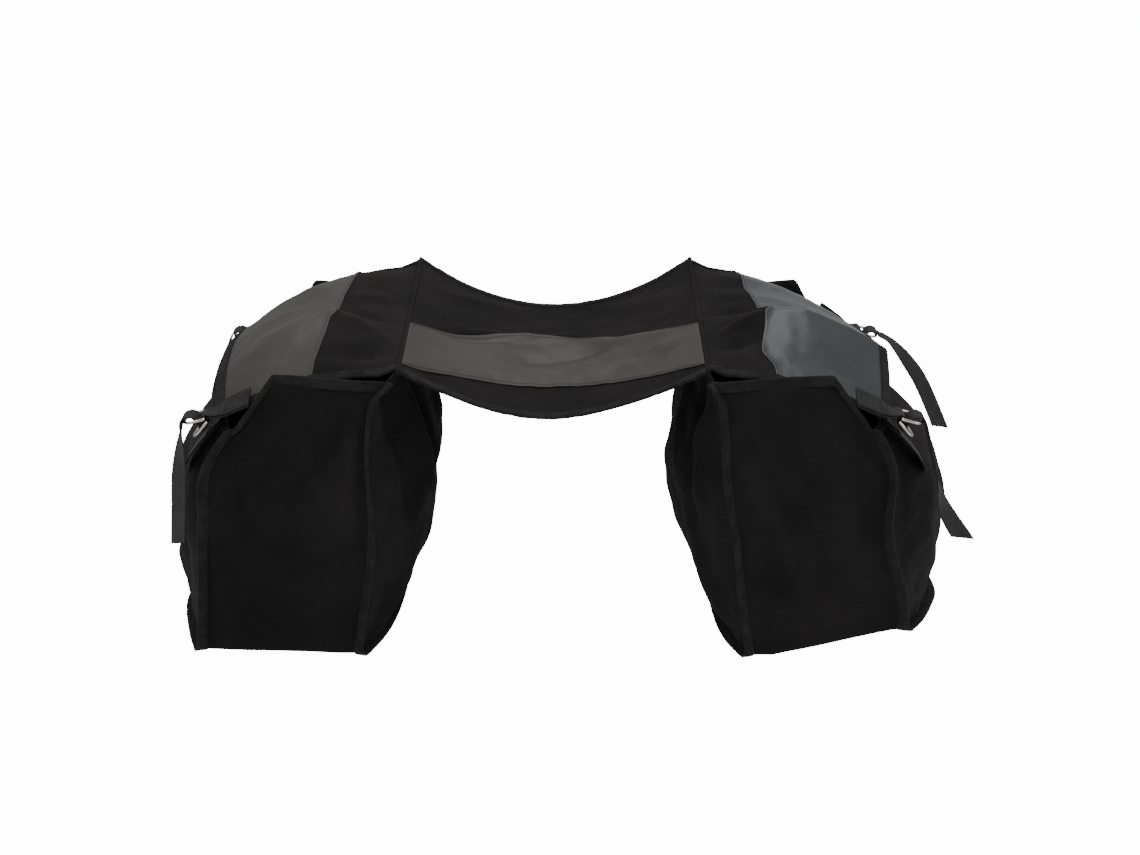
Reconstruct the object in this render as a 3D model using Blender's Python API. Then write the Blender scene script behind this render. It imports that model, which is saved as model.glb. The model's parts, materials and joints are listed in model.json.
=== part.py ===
"""Double pannier bag: two bags, two flaps and the bridge between them.
X runs across, Y front to rear, Z up; the origin is on the ground in the middle."""
import math

import bmesh
import bpy
from mathutils import Matrix, Vector

for thing in list(bpy.data.objects):
    bpy.data.objects.remove(thing, do_unlink=True)

# Overall sizes
BAG_LENGTH = 0.345          # front gusset to rear gusset
SEAM_X = 0.156              # middle plane to the seam between bridge and bag
SEAM_FRONT_Z = 0.322        # seam height at its front end
SEAM_REAR_Z = 0.345         # seam height at its rear end
BAG_DEPTH_X = 0.213         # seam to the outer foot of the bag
OUTER_DRAFT = 0.020         # how far the outer corner leans in up to the mouth
INNER_FOOT_X = 0.047        # how far the inner wall's foot stands out from the seam
GUSSET_TOP_Z = 0.3110       # top of an end panel beside the seam
GUSSET_RISE = 0.0080        # and how much higher it stands at its outer end
MOUTH_FRONT_Z = 0.260       # top of the outer wall, front
MOUTH_REAR_Z = 0.238        # top of the outer wall, rear
MOUTH_BOW = 0.010           # how much higher it stands in the middle
CHAMFER_START = 0.130       # seam to where a gusset's top starts to fall
FOOT_RADIUS = 0.018         # rounding between a gusset and the bottom

# Fullness of the cloth walls
OUTER_BELLY_EDGE = 0.050
OUTER_BELLY_MIDDLE = 0.018
OUTER_BELLY_HEIGHT = 0.260
INNER_BELLY = 0.055
SHOULDER_RISE = 0.060       # height over which the outer wall rounds in to the mouth
SHOULDER_LEAN = 0.024

# Bridge
BRIDGE_SAG_FRONT = 0.057
BRIDGE_SAG_REAR = 0.046
BRIDGE_HOLLOW = 0.032       # how far its front and rear edges curve in
STRIP_WIDTH = 0.116
STRIP_SHIFT = -0.018        # strip centre to bridge centre, Y
STRIP_BOW = 0.077           # how much further forward the strip runs at the seams
SLIT_LENGTH = 0.009
SLIT_WIDTH = 0.004
SLIT_ACROSS = 0.24          # place of the slit, as a share of the bridge's width

# Flap
FLAP_REACH = 0.186          # seam to the flap's free edge, at the front
FLAP_REACH_GAIN = 0.002     # further reach at the rear
FLAP_BOW = 0.014            # outward curve of the free edge
FLAP_CROWN = 0.0245
FLAP_DROP_FRONT = 0.057
FLAP_DROP_REAR = 0.096
FLAP_SIDE_GAP = 0.008       # gusset to the flap's side edge
FLAP_TUCK = 0.014           # how far its side edges dip between the gussets
CANVAS_REACH = 0.078        # seam to the joint between canvas and coated panel

# Cloth, tapes and webbing
CLOTH = 0.0020
COATED = 0.0016
TAPE_WIDTH = 0.0106
TAPE_THICKNESS = 0.0030
WEBBING_WIDTH = 0.025
WEBBING_THICKNESS = 0.0016
FACING_HEIGHT = 0.024
FACING_GAP = 0.0018          # mouth binding to the top of the facing
FACING_LAY = 0.0032          # more room behind it, as the wall leans
TAIL_LENGTH = 0.140

# Rings
RING_WIRE = 0.0032
RING_PLAY = 0.0009          # webbing edge to the inside of a ring
RING_LEG = 0.0125
RING_BOW = 0.0080
RING_BARS_APART = 0.0042
UPPER_RING_ANGLE = -15.0
LOWER_RING_ANGLE = -50.0
RING_LINE_INSET = 0.007     # gusset to the middle of the rings, Y
RING_BEYOND_FLAP = 0.008    # flap edge to the ring pivot, X
TAB_LENGTH = 0.036

# Straps
STRAP_CLEAR = 0.0034        # outer wall to the middle of the closing strap
STRAP_LOW_Z = 0.058         # strap's sewn end below the mouth
STRAP_LOW_Y = 0.046         # and its distance from the gusset
STRAP_HIGH_Y = 0.033
# Middle of a tail through the rings, out and up from their hinge, in millimetres
THREADING = ((2.0, -13.2), (5.2, -8.4), (8.2, -4.2), (10.8, -0.8), (14.0, 1.9), (18.5, 2.2),
             (23.0, 0.4), (26.0, -3.6))
# How far each tail swings out, and how soon along its length
TAIL_HANG = {
    "left_front": (0.012, 1.0),
    "left_rear": (0.020, 1.0),
    "right_front": (0.046, 1.0),
    "right_rear": (0.036, 1.4),
}

GAP = 0.0003                # clearance between touching pieces
HINGE_GAP = 0.0016          # cloth edge to a hinge line
SEAM_DROP = 0.0050          # hinge line to the top of the inner wall
ARC_STEPS = 4

HALF = BAG_LENGTH / 2
RING_Y = HALF - RING_LINE_INSET
RING_WIDTH = WEBBING_WIDTH + 2 * RING_PLAY

materials = {
    "canvas": ((0.014, 0.013, 0.013), 0.95, 0.0),
    "coated": ((0.12, 0.12, 0.11), 0.38, 0.0),
    "tape": ((0.022, 0.022, 0.023), 0.85, 0.0),
    "webbing": ((0.020, 0.020, 0.021), 0.75, 0.0),
    "nickel": ((0.75, 0.73, 0.70), 0.22, 1.0),
}


def material(name, slot):
    """A material of the piece's own, in the finish of its slot."""
    colour, roughness, metallic = materials[slot]
    made = bpy.data.materials.new(name + "_" + slot)
    made.use_nodes = True
    shader = made.node_tree.nodes["Principled BSDF"]
    shader.inputs["Base Color"].default_value = (*colour, 1.0)
    shader.inputs["Roughness"].default_value = roughness
    shader.inputs["Metallic"].default_value = metallic
    return made


def pivot(name, place, parent=None):
    """An empty on a joint's axis."""
    empty = bpy.data.objects.new(name, None)
    empty.matrix_world = Matrix.Translation(place)
    bpy.context.scene.collection.objects.link(empty)
    if parent:
        empty.parent = parent
        empty.matrix_parent_inverse = parent.matrix_world.inverted()
    bpy.context.view_layer.update()
    return empty


def add(name, data, slot, body):
    """Link one piece and hang it on its body's pivot."""
    piece = bpy.data.objects.new(name, data)
    data.materials.append(material(name, slot))
    bpy.context.scene.collection.objects.link(piece)
    if body:
        piece.parent = body
        piece.matrix_parent_inverse = body.matrix_world.inverted()
    return piece


# Shape of the bag

def rearward(y):
    return (y + HALF) / BAG_LENGTH


def belly(y):
    """Fullness between the gussets: 0 at each gusset, 1 in the middle."""
    return 1.0 - (y / HALF) ** 2


def seam_z(y):
    return SEAM_FRONT_Z + (SEAM_REAR_Z - SEAM_FRONT_Z) * rearward(y)


def mouth_z(y):
    level = MOUTH_FRONT_Z + (MOUTH_REAR_Z - MOUTH_FRONT_Z) * rearward(y)
    return level + MOUTH_BOW * belly(y)


def inner_x(y, z):
    """Inner wall's outer face, at a height."""
    corner = SEAM_X + INNER_FOOT_X * (1.0 - z / seam_z(y))
    bulge = math.sin(math.pi * (z + 0.05) / (seam_z(y) + 0.05))
    return corner - INNER_BELLY * bulge * belly(y)


def outer_corner_x(z, y):
    """Outer corner of a gusset, which leans in and rounds over near the mouth."""
    lean = min(1.0, max(0.0, z - (mouth_z(y) - SHOULDER_RISE)) / SHOULDER_RISE)
    draft = OUTER_DRAFT * z / mouth_z(y)
    return SEAM_X + BAG_DEPTH_X - draft - SHOULDER_LEAN * lean ** 1.6


def outer_x(y, z):
    """Outer wall's outer face, at a height."""
    middle = OUTER_BELLY_MIDDLE * math.sin(math.pi * min(z / OUTER_BELLY_HEIGHT, 1.0))
    return outer_corner_x(z, y) + (OUTER_BELLY_EDGE + middle) * belly(y)


def end_profile(inset, top, steps):
    """Points (y, z) of one gusset's side line, from the bottom up, at the rear."""
    points = []
    radius = FOOT_RADIUS - inset
    for step in range(ARC_STEPS + 1):
        turn = math.radians(90 * step / ARC_STEPS)
        y = HALF - FOOT_RADIUS + radius * math.sin(turn)
        points.append((y, FOOT_RADIUS - radius * math.cos(turn)))
    for step in range(1, steps + 1):
        points.append((HALF - inset, FOOT_RADIUS + (top - FOOT_RADIUS) * step / steps))
    return points


# Makers

def sheet(name, grid, place, thickness, outward, slot, body, flip=1):
    """A panel of cloth: a grid laid on a surface and thickened inwards."""
    columns, rows = grid
    bm = bmesh.new()
    bmesh.ops.create_grid(bm, x_segments=columns, y_segments=rows, size=0.5)
    for vert in bm.verts:
        vert.co = place(vert.co.x + 0.5, vert.co.y + 0.5)
    return close_sheet(name, bm, thickness, outward, slot, body, flip)


def close_sheet(name, bm, thickness, outward, slot, body, flip=1):
    for vert in bm.verts:
        vert.co.x *= flip
    bm.normal_update()
    facing = Vector((outward[0] * flip, outward[1], outward[2]))
    total = sum((face.normal * face.calc_area() for face in bm.faces), Vector())
    if total.dot(facing) < 0:
        bmesh.ops.reverse_faces(bm, faces=bm.faces)
    mesh = bpy.data.meshes.new(name)
    bm.to_mesh(mesh)
    bm.free()
    piece = add(name, mesh, slot, body)
    solid = piece.modifiers.new("thickness", "SOLIDIFY")
    solid.thickness = thickness
    solid.offset = -1.0
    solid.use_even_offset = False
    return piece


def tape(name, path, across, size, slot, body, flip=1, start=0.0):
    """A flat tape laid along a path; across gives the direction of its width."""
    width, thickness = size
    last = len(path) - 1
    bm = bmesh.new()
    bmesh.ops.create_grid(bm, x_segments=1, y_segments=last, size=0.5)
    for vert in bm.verts:
        index = round((vert.co.y + 0.5) * last)
        reach = start if vert.co.x < 0 else start + width
        vert.co = Vector(path[index]) + Vector(across[index]).normalized() * reach
        vert.co.x *= flip
    mesh = bpy.data.meshes.new(name)
    bm.to_mesh(mesh)
    bm.free()
    piece = add(name, mesh, slot, body)
    solid = piece.modifiers.new("thickness", "SOLIDIFY")
    solid.thickness = thickness
    solid.offset = 0.0
    return piece


TAPE = (TAPE_WIDTH, TAPE_THICKNESS)
WEBBING = (WEBBING_WIDTH, WEBBING_THICKNESS)


# Bridge pieces

BRIDGE_X = SEAM_X - HINGE_GAP


def bridge_half(x):
    """Half the bridge's length from front to rear, which narrows to the middle."""
    return HALF - BRIDGE_HOLLOW * (1.0 - (x / BRIDGE_X) ** 2)


def bridge_point(x, share):
    """The bridge's upper face; share runs from -1 at the front to 1 at the rear."""
    level = SEAM_FRONT_Z + (SEAM_REAR_Z - SEAM_FRONT_Z) * (share + 1.0) / 2
    depth = BRIDGE_SAG_FRONT + (BRIDGE_SAG_REAR - BRIDGE_SAG_FRONT) * (share + 1.0) / 2
    sag = depth * (1.0 - (x / BRIDGE_X) ** 2)
    return Vector((x, share * bridge_half(x), level - sag))


def bridge_panel():
    bm = bmesh.new()
    bmesh.ops.create_grid(bm, x_segments=15, y_segments=9, size=0.5)
    target = Vector((SLIT_ACROSS - 0.5, -0.5, 0.0))
    slit = min(bm.faces, key=lambda face: (face.calc_center_median() - target).length)
    bmesh.ops.inset_individual(bm, faces=[slit], thickness=0.02)
    middle = slit.calc_center_median()
    for vert in slit.verts:
        away = vert.co - middle
        vert.co.x = middle.x + math.copysign(SLIT_LENGTH / (4 * BRIDGE_X), away.x)
        vert.co.y = middle.y + math.copysign(SLIT_WIDTH / (2 * BAG_LENGTH), away.y)
    bmesh.ops.delete(bm, geom=[slit], context="FACES_ONLY")
    for vert in bm.verts:
        x = vert.co.x * 2 * BRIDGE_X
        inset = 1.0 - (TAPE_WIDTH + GAP) / bridge_half(x)
        vert.co = bridge_point(x, vert.co.y * 2 * inset)
    return close_sheet("bridge_panel", bm, CLOTH, (0, 0, 1), "canvas", None)


def bridge_strip():
    """The coated strip lies on the panel's upper face, a little above it."""
    lift = COATED + GAP + 0.0006

    def place(u, v):
        x = (u - 0.5) * 2 * (BRIDGE_X - GAP)
        y = STRIP_SHIFT - STRIP_BOW * (x / BRIDGE_X) ** 2 + (v - 0.5) * STRIP_WIDTH
        return bridge_point(x, y / bridge_half(x)) + Vector((0, 0, lift))

    return sheet("bridge_strip", (15, 6), place, COATED, (0, 0, 1), "coated", None)


def bridge_binding(name, end):
    path = []
    across = []
    for step in range(16):
        x = (step / 15 - 0.5) * 2 * BRIDGE_X
        inner = bridge_point(x, end * (1.0 - TAPE_WIDTH / bridge_half(x)))
        path.append(inner - Vector((0, 0, CLOTH / 2)))
        across.append(bridge_point(x, end) - inner)
    tape(name, path, across, TAPE, "tape", None)


# Bag

WALL_INSET = (CLOTH + TAPE_THICKNESS) / 2 + GAP
EDGE_GAP = 0.0009           # an end panel's side edge to the seam line
SEAM_START = 0.0012         # the seam line to the near edge of its tape
UPPER_ROWS = 7
BOTTOM_ROWS = 8
WALL_COLUMNS = 10
GUSSET_COLUMNS = 8


def foot_arc(inset):
    """Rounded foot of a wall or panel, from the bottom up: (y, z) at the rear."""
    radius = FOOT_RADIUS - inset
    turns = [math.radians(90 * step / ARC_STEPS) for step in range(ARC_STEPS + 1)]
    centre = HALF - FOOT_RADIUS
    return [(centre + radius * math.sin(a), FOOT_RADIUS - radius * math.cos(a)) for a in turns]


def end_top(share, y):
    """Top edge of an end panel: level, then falling to the outer wall's mouth."""
    low = inner_x(y, GUSSET_TOP_Z)
    corner = outer_corner_x(mouth_z(y), y)
    x = low + (corner - low) * share
    level = GUSSET_TOP_Z + GUSSET_RISE * min(1.0, (x - low) / (SEAM_X + CHAMFER_START - low))
    fall = max(0.0, x - SEAM_X - CHAMFER_START) / (corner - SEAM_X - CHAMFER_START)
    return level - (level - mouth_z(y)) * fall


def across_bag(share, y, z):
    """A point between the two seams of the bag at a height."""
    low = inner_x(y, z) + EDGE_GAP
    high = outer_x(y, z) - EDGE_GAP
    return low + (high - low) * share


def band_rows():
    """Rows of the U-shaped band: (y, foot height or None, share of the height)."""
    arc = foot_arc(0.0)
    rear = [(y, z, 0.0) for y, z in arc]
    rear += [(HALF, None, row / UPPER_ROWS) for row in range(1, UPPER_ROWS + 1)]
    front = [(-y, z, share) for y, z, share in reversed(rear)]
    start = arc[0][0]
    bottom = [(start * (2 * row / BOTTOM_ROWS - 1), 0.0, 0.0) for row in range(1, BOTTOM_ROWS)]
    return front + bottom + rear


def gusset_band(side, flip, body):
    """End panel, bottom and end panel in one length of canvas."""
    rows = band_rows()
    bm = bmesh.new()
    bmesh.ops.create_grid(bm, x_segments=GUSSET_COLUMNS, y_segments=len(rows) - 1, size=0.5)
    for vert in bm.verts:
        across = vert.co.x + 0.5
        y, z, share = rows[round((vert.co.y + 0.5) * (len(rows) - 1))]
        if z is None:
            top = end_top(across, y) - TAPE_WIDTH - GAP
            z = FOOT_RADIUS + (top - FOOT_RADIUS) * share
        vert.co = Vector((across_bag(across, y, z), y, z))
    return close_sheet(side + "_gusset_band", bm, CLOTH, (0, 0, -1), "canvas", body, flip)


def gusset_binding(name, end, flip, body):
    y = end * HALF
    path = []
    across = []
    for column in range(GUSSET_COLUMNS + 1):
        share = column / GUSSET_COLUMNS
        top = end_top(share, y)
        low = Vector((across_bag(share, y, top - TAPE_WIDTH), y - end * CLOTH / 2, top - TAPE_WIDTH))
        path.append(low)
        across.append(Vector((across_bag(share, y, top), low.y, top)) - low)
    tape(name, path, across, TAPE, "tape", body, flip)


def wall(name, surface, top, outward, flip, body):
    """A side wall, with the same rounded foot as the end panels."""
    arc = foot_arc(WALL_INSET)
    rows = len(arc) - 1 + UPPER_ROWS

    def place(u, v):
        row = round(v * rows)
        half, z = arc[min(row, len(arc) - 1)]
        y = half * (2 * u - 1)
        if row >= len(arc):
            share = (row - len(arc) + 1) / UPPER_ROWS
            z += (top(y) - z) * share
        return Vector((surface(y, z), y, z))

    return sheet(name, (WALL_COLUMNS, rows), place, CLOTH, outward, "canvas", body, flip)


def seam_binding(name, surface, sideways, top, flip, body):
    """Tape over the raw edges of the seam between a wall and the band."""
    path = []
    across = []
    arc = foot_arc(0.0)
    rows = [(HALF, row / UPPER_ROWS) for row in range(UPPER_ROWS, 0, -1)]
    for end in (-1, 1):
        leg_path = []
        leg_across = []
        for y, share in rows:
            z = FOOT_RADIUS + (top(end * y) - FOOT_RADIUS) * share
            leg_path.append((surface(end * y, z), end * y, z))
            leg_across.append((sideways, end, 0))
        for step in range(ARC_STEPS, -1, -1):
            y, z = arc[step]
            z = max(z, TAPE_THICKNESS / 2)
            lean = math.sin(math.radians(90 * step / ARC_STEPS)) ** 2
            leg_path.append((surface(end * y, z), end * y, z))
            leg_across.append((sideways, end * lean, 0))
        if end > 0:
            leg_path.reverse()
            leg_across.reverse()
            z = TAPE_THICKNESS / 2
            for row in range(1, BOTTOM_ROWS):
                y = arc[0][0] * (2 * row / BOTTOM_ROWS - 1)
                path.append((surface(y, z), y, z))
                across.append((sideways, 0, 0))
        path += leg_path
        across += leg_across
    tape(name, path, across, TAPE, "tape", body, flip, start=SEAM_START)


def mouth_facing(name, flip, body):
    """Ribbed coated strip sewn inside the top of the outer wall."""
    drop = CLOTH + GAP + FACING_LAY
    half = HALF - WALL_INSET - 0.004

    def place(u, v):
        y = half * (2 * u - 1)
        z = mouth_z(y) - TAPE_WIDTH - FACING_GAP - FACING_HEIGHT * (1.0 - v)
        return Vector((outer_x(y, z) - drop, y, z))

    return sheet(name, (WALL_COLUMNS, 3), place, COATED, (1, 0, 0), "coated", body, flip)


def mouth_binding(name, flip, body):
    half = HALF - WALL_INSET - TAPE_THICKNESS / 2
    path = []
    across = []
    for column in range(WALL_COLUMNS + 1):
        y = half * (2 * column / WALL_COLUMNS - 1)
        z = mouth_z(y) - TAPE_WIDTH
        low = Vector((outer_x(y, z) - CLOTH / 2, y, z))
        path.append(low)
        across.append(Vector((outer_x(y, z + TAPE_WIDTH) - CLOTH / 2, y, z + TAPE_WIDTH)) - low)
    tape(name, path, across, (TAPE_WIDTH, TAPE_THICKNESS), "tape", body, flip, start=GAP)


# Flap

FLAP_X = SEAM_X + HINGE_GAP
FLAP_HALF = HALF - FLAP_SIDE_GAP
CORNER_RADIUS = 0.003
CORNER_GAP = 0.0012         # keeps the rounded tape clear of a square corner


def flap_edge(y):
    return SEAM_X + FLAP_REACH + FLAP_BOW * belly(y) + FLAP_REACH_GAIN * rearward(y)


def flap_z(x, y):
    """The flap's upper face: crowned in the middle, drooping to its free edge."""
    share = max(0.0, (x - SEAM_X) / (flap_edge(y) - SEAM_X))
    drop = FLAP_DROP_FRONT + (FLAP_DROP_REAR - FLAP_DROP_FRONT) * rearward(y) ** 2
    crown = FLAP_CROWN * (math.sin(math.pi * min(share, 1.0)) + share ** 2) * belly(y)
    tuck = FLAP_TUCK * abs(y / HALF) ** 7 * min(1.0, share * 9) * (1.0 - min(share, 1.0))
    return seam_z(y) + crown - drop * share ** 1.7 - tuck


def flap_point(x, y):
    return Vector((x, y, flap_z(x, y)))


def flap_part(name, near, far, slot, columns, flip, body):
    """A stretch of the flap between two distances from the seam."""
    half = FLAP_HALF - TAPE_WIDTH - CORNER_GAP

    def place(u, v):
        y = half * (2 * v - 1)
        start, stop = near(y), far(y)
        return flap_point(start + (stop - start) * u, y)

    return sheet(name, (columns, 9), place, CLOTH, (0, 0, 1), slot, body, flip)


def flap_binding(name, flip, body):
    """Tape round the flap's front, free and rear edges."""
    path = []
    across = []

    def station(x, y, away_x, away_y):
        inner = flap_point(x, y)
        path.append(inner - Vector((0, 0, CLOTH / 2)))
        outer = flap_point(x + away_x * TAPE_WIDTH, y + away_y * TAPE_WIDTH)
        across.append(outer - inner)

    edge = FLAP_HALF - TAPE_WIDTH
    for end in (-1, 1):
        limit = flap_edge(end * edge) - TAPE_WIDTH - CORNER_RADIUS
        columns = [FLAP_X + (limit - FLAP_X) * step / 7 for step in range(8)]
        turns = [(end, math.radians(angle)) for angle in (30, 60, 90)]
        if end > 0:
            for row in range(1, 9):
                y = (edge - CORNER_RADIUS) * (2 * row / 9 - 1)
                station(flap_edge(y) - TAPE_WIDTH, y, 1, 0)
            columns.reverse()
            turns.reverse()
            bend(station, limit, edge, turns)
        for x in columns:
            station(x, end * edge, 0, end)
        if end < 0:
            bend(station, limit, edge, turns)
    tape(name, path, across, TAPE, "tape", body, flip)


def bend(station, limit, edge, turns):
    """Rounded corner of the flap's tape."""
    for end, turn in turns:
        x = limit + CORNER_RADIUS * math.sin(turn)
        y = end * (edge - CORNER_RADIUS + CORNER_RADIUS * math.cos(turn))
        station(x, y, math.sin(turn), end * math.cos(turn))


# Rings, tabs and straps

LOOP_RADIUS = (RING_BARS_APART + RING_WIRE + WEBBING_THICKNESS) / 2 + 0.0005
LAYERS_APART = WEBBING_THICKNESS + 0.0010


def tab_base(x, end):
    """Height of a ring tab's underside, clear of the flap and its binding."""
    inner = end * (RING_Y - WEBBING_WIDTH / 2)
    outer = end * FLAP_HALF
    return max(flap_z(x, inner), flap_z(x, outer)) + TAPE_THICKNESS / 2 + GAP


def ring_pivot(end):
    x = flap_edge(end * RING_Y) + RING_BEYOND_FLAP
    z = tab_base(flap_edge(end * RING_Y), end) + WEBBING_THICKNESS / 2 + LAYERS_APART
    return Vector((x, end * RING_Y, z - LOOP_RADIUS))


def strip_of_webbing(name, route, flip, body):
    """Webbing along points (x, z, y of its middle), its width along Y."""
    path = [(x, y - WEBBING_WIDTH / 2, z) for x, z, y in route]
    return tape(name, path, [(0, 1, 0)] * len(path), WEBBING, "webbing", body, flip)


def ring_tab(name, end, flip, body):
    """Webbing folded round both ring bars and sewn on the flap's corner."""
    centre = ring_pivot(end)
    edge = flap_edge(end * RING_Y)
    half = WEBBING_THICKNESS / 2
    inner = [(edge - TAB_LENGTH * share, tab_base(edge - TAB_LENGTH * share, end) + half)
             for share in (1.0, 0.75, 0.5, 0.25, 0.0)]
    loop = []
    for angle in (155, 185, 225, 270, 315, 0, 45, 90):
        turn = math.radians(angle)
        loop.append((centre.x + LOOP_RADIUS * math.cos(turn), centre.z + LOOP_RADIUS * math.sin(turn)))
    back = [(x, z + LAYERS_APART) for x, z in reversed(inner)]
    route = [(x, z, centre.y) for x, z in inner + loop + back]
    strip_of_webbing(name, route, flip, body)


def d_ring(name, end, tilt, shift, flip, body):
    """A ring of bent wire: a straight bar along Y, two legs and a bowed side."""
    centre = ring_pivot(end)
    middle = math.radians((UPPER_RING_ANGLE + LOWER_RING_ANGLE) / 2)
    bar_x = centre.x - math.sin(middle) * shift
    bar_z = centre.z + math.cos(middle) * shift
    half = (RING_WIDTH + RING_WIRE) / 2
    leg = RING_LEG + RING_WIRE / 2
    turns = [math.pi * step / 8 for step in range(9)]
    outline = [(0.0, -half)]
    outline += [(leg + RING_BOW * math.sin(turn), -half * math.cos(turn)) for turn in turns]
    outline.append((0.0, half))
    slope = math.radians(tilt)
    curve = bpy.data.curves.new(name, "CURVE")
    curve.dimensions = "3D"
    curve.bevel_depth = RING_WIRE / 2
    curve.bevel_resolution = 1
    spline = curve.splines.new("POLY")
    spline.points.add(len(outline) - 1)
    spline.use_cyclic_u = True
    for point, (reach, sideways) in zip(spline.points, outline):
        x = (bar_x + reach * math.cos(slope)) * flip
        point.co = (x, centre.y + sideways, bar_z + reach * math.sin(slope), 1.0)
    add(name, curve, "nickel", body)


def strap_end(end):
    centre = ring_pivot(end)
    return (centre.x + 0.0012, centre.z - 0.0168)


def closing_strap(name, end, flip, body):
    """Sewn on the outer wall, rising past the mouth to just under the rings."""
    top_x, top_z = strap_end(end)
    high_y = end * (HALF - STRAP_HIGH_Y)
    route = []
    for step in range(6):
        share = step / 5
        y = end * (HALF - STRAP_LOW_Y) + (high_y - end * (HALF - STRAP_LOW_Y)) * share
        z = mouth_z(y) - STRAP_LOW_Z * (1.0 - share)
        near = max(outer_x(y - WEBBING_WIDTH / 2, z), outer_x(y + WEBBING_WIDTH / 2, z))
        route.append((near + STRAP_CLEAR, z, y))
    last_x, last_z, last_y = route[-1]
    for share in (0.5, 1.0):
        ring_y = end * (RING_Y - 0.004)
        route.append((last_x + (top_x - last_x) * share, last_z + (top_z - last_z) * share,
                      last_y + (ring_y - last_y) * share))
    strip_of_webbing(name, route, flip, body)


def strap_tail(name, end, hang, flip, body):
    """The free end: up through both rings, over the outer one and down."""
    centre = ring_pivot(end)
    route = [(centre.x + x / 1000, centre.z + z / 1000, centre.y) for x, z in THREADING]
    x, z, y = route[-1]
    steps = 9
    for step in range(1, steps + 1):
        share = step / steps
        out = hang[0] * math.sin(math.pi / 2 * min(1.0, share * hang[1]))
        drop = math.sqrt(max(TAIL_LENGTH ** 2 - hang[0] ** 2, 0.0)) * share
        route.append((x + out, z - drop, y))
    strip_of_webbing(name, route, flip, body)


# Assembly

bridge_panel()
bridge_strip()
bridge_binding("bridge_front_binding", -1)
bridge_binding("bridge_rear_binding", 1)

for side, flip in (("left", -1), ("right", 1)):
    seam = Vector((flip * SEAM_X, 0.0, (SEAM_FRONT_Z + SEAM_REAR_Z) / 2))
    bag = pivot(side + "_bag_pivot", seam)
    flap = pivot(side + "_flap_pivot", seam, bag)

    gusset_band(side, flip, bag)
    wall(side + "_outer_wall", outer_x, lambda y: mouth_z(y) - TAPE_WIDTH, (1, 0, 0), flip, bag)
    wall(side + "_inner_wall", inner_x, lambda y: seam_z(y) - SEAM_DROP, (-1, 0, 0), flip, bag)
    mouth_facing(side + "_mouth_facing", flip, bag)
    mouth_binding(side + "_mouth_binding", flip, bag)
    gusset_binding(side + "_front_gusset_binding", -1, flip, bag)
    gusset_binding(side + "_rear_gusset_binding", 1, flip, bag)
    seam_binding(side + "_inner_seam_binding", inner_x, -1, lambda y: GUSSET_TOP_Z, flip, bag)
    seam_binding(side + "_outer_seam_binding", outer_x, 1, mouth_z, flip, bag)

    joint_line = lambda y: SEAM_X + CANVAS_REACH
    flap_part(side + "_flap_canvas", lambda y: FLAP_X, joint_line, "canvas", 5, flip, flap)
    flap_part(side + "_flap_panel", lambda y: joint_line(y) + GAP,
              lambda y: flap_edge(y) - TAPE_WIDTH - CORNER_GAP, "coated", 6, flip, flap)
    flap_binding(side + "_flap_binding", flip, flap)

    for place, end in (("front", -1), ("rear", 1)):
        prefix = side + "_" + place
        centre = ring_pivot(end)
        centre.x *= flip
        rings = pivot(prefix + "_ring_pivot", centre, flap)
        closing_strap(prefix + "_closing_strap", end, flip, bag)
        ring_tab(prefix + "_ring_tab", end, flip, flap)
        d_ring(prefix + "_upper_ring", end, UPPER_RING_ANGLE, RING_BARS_APART / 2, flip, rings)
        d_ring(prefix + "_lower_ring", end, LOWER_RING_ANGLE, -RING_BARS_APART / 2, flip, rings)
        strap_tail(prefix + "_strap_tail", end, TAIL_HANG[prefix], flip, rings)
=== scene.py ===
import json
import math

import bmesh
import bpy
from mathutils import Euler, Matrix, Vector, noise


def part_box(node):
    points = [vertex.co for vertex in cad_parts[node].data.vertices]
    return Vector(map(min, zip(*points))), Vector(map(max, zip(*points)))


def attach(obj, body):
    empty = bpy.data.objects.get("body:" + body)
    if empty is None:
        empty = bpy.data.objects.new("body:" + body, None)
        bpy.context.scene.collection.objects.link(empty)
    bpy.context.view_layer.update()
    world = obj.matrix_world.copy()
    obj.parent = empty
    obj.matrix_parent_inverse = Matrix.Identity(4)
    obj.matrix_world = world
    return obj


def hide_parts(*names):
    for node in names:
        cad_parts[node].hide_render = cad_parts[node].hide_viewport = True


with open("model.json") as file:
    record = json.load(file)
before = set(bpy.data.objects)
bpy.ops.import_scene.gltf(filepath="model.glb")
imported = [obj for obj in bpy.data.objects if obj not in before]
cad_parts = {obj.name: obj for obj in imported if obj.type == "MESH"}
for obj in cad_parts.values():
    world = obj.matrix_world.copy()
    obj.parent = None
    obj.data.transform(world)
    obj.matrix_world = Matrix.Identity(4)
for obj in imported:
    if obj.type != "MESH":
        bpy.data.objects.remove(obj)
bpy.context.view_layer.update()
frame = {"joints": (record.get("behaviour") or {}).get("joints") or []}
joints = {joint["name"]: joint for joint in frame["joints"]}
print("frame loaded")
# the same folds and drift on every run
noise.seed_set(7)

# camera: a little above the bags, straight at the front end
cameraView = {"place": (0.017, -2.06, 0.961), "down": 20.3, "lens": 62.7}
cameraData = bpy.data.cameras.new("camera")
cameraData.lens = cameraView["lens"]
camera = bpy.data.objects.new("camera", cameraData)
camera.location = cameraView["place"]
camera.rotation_euler = Euler((math.radians(90 - cameraView["down"]), 0, 0))
bpy.context.scene.collection.objects.link(camera)
bpy.context.scene.camera = camera


# shape of the bag, in step with the frame; sizes in metres
seamJoint = joints["right_bag_swing"]
seamX = seamJoint["pos_m"][0]
seamMiddleZ = seamJoint["pos_m"][2]
seamSlope = seamJoint["axis"][2] / seamJoint["axis"][1]
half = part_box("right_gusset_band")[1][1]
length = 2 * half
upwards = Vector((0, 0, 1))

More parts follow.
